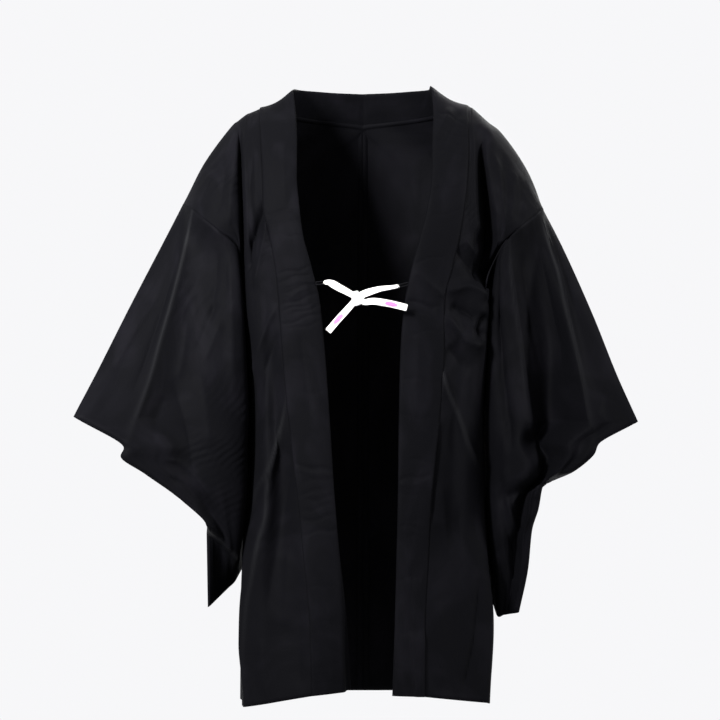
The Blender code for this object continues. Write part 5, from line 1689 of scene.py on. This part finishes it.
class HAORI_OT_body(bpy.types.Operator):
    """Makes the two body pieces, from front hem to back hem, and their gussets"""

    bl_idname = "haori.body"
    bl_label = "Body and gussets"

    def execute(self, context):
        silk = silk_material("body_silk", context.scene.haori_colours, 0.30)
        thickness = context.scene.haori_sizes.silk
        for side, levels, mirror in (("right", FRONT_RIGHT, False), ("left", FRONT_LEFT, True)):
            grid = panel_grid(levels, mirror, side)
            piece = cloth("body_cloth_" + side, [grid[:, ::-1] if mirror else grid], thickness,
                          silk, ["body_" + side])
            finished(piece, "body_silk", "body_panel_" + side)
            grid = gusset_grid(levels, mirror)
            piece = cloth("gusset_cloth_" + side, [grid[:, ::-1] if mirror else grid],
                          thickness, silk)
            finished(piece, "body_silk", "gusset_" + side)
        return {"FINISHED"}


class HAORI_OT_collar(bpy.types.Operator):
    """Makes the folded collar band, from hem round the neck to hem"""

    bl_idname = "haori.collar"
    bl_label = "Collar band"

    def execute(self, context):
        silk = silk_material("collar_silk", context.scene.haori_colours, 0.16)
        piece = piece_of("collar_band", band_mesh("collar_band"), silk)
        finished(piece, "collar_silk", "collar")
        return {"FINISHED"}


class HAORI_OT_sleeves(bpy.types.Operator):
    """Makes the two sleeves with their open cuffs and open inner edges"""

    bl_idname = "haori.sleeves"
    bl_label = "Sleeves"

    def execute(self, context):
        silk = silk_material("sleeve_silk", context.scene.haori_colours, 0.34)
        thickness = context.scene.haori_sizes.silk
        rows = (("right", FRONT_RIGHT, False, OUTER_RIGHT, LIMB_RIGHT, FURI_RIGHT,
                 CUFF_BACK_RIGHT, CREASES_RIGHT),
                ("left", FRONT_LEFT, True, OUTER_LEFT, LIMB_LEFT, FURI_LEFT,
                 CUFF_BACK_LEFT, CREASES_LEFT))
        for side, *shape in rows:
            piece = cloth("sleeve_cloth_" + side, sleeve_grids(*shape, side), thickness, silk,
                          ["sleeve_" + side, None])
            finished(piece, "body_silk", "sleeve_" + side)
        return {"FINISHED"}


class HAORI_PT_panel(bpy.types.Panel):
    """Lists the pieces of the haori"""

    bl_label = "Haori"
    bl_idname = "HAORI_PT_panel"
    bl_space_type = "VIEW_3D"
    bl_region_type = "UI"
    bl_category = "Haori"

    def draw(self, context):
        layout = self.layout
        for group in (context.scene.haori_sizes, context.scene.haori_colours):
            column = layout.column()
            for label in group.bl_rna.properties.keys():
                if label not in ("rna_type", "name"):
                    column.prop(group, label)
        for operator in OPERATORS:
            layout.operator(operator.bl_idname)


OPERATORS = (HAORI_OT_stage, HAORI_OT_ties, HAORI_OT_loops, HAORI_OT_body, HAORI_OT_collar,
             HAORI_OT_sleeves)
CLASSES = (HaoriSizes, HaoriColours, *OPERATORS, HAORI_PT_panel)


def register():
    for made in CLASSES:
        bpy.utils.register_class(made)
    bpy.types.Scene.haori_sizes = bpy.props.PointerProperty(type=HaoriSizes)
    bpy.types.Scene.haori_colours = bpy.props.PointerProperty(type=HaoriColours)


def unregister():
    del bpy.types.Scene.haori_colours
    del bpy.types.Scene.haori_sizes
    for made in reversed(CLASSES):
        bpy.utils.unregister_class(made)


def main():
    register()
    for operator in OPERATORS:
        name = operator.bl_idname.split(".")[1]
        getattr(bpy.ops.haori, name)()


if __name__ == "__main__":
    main()
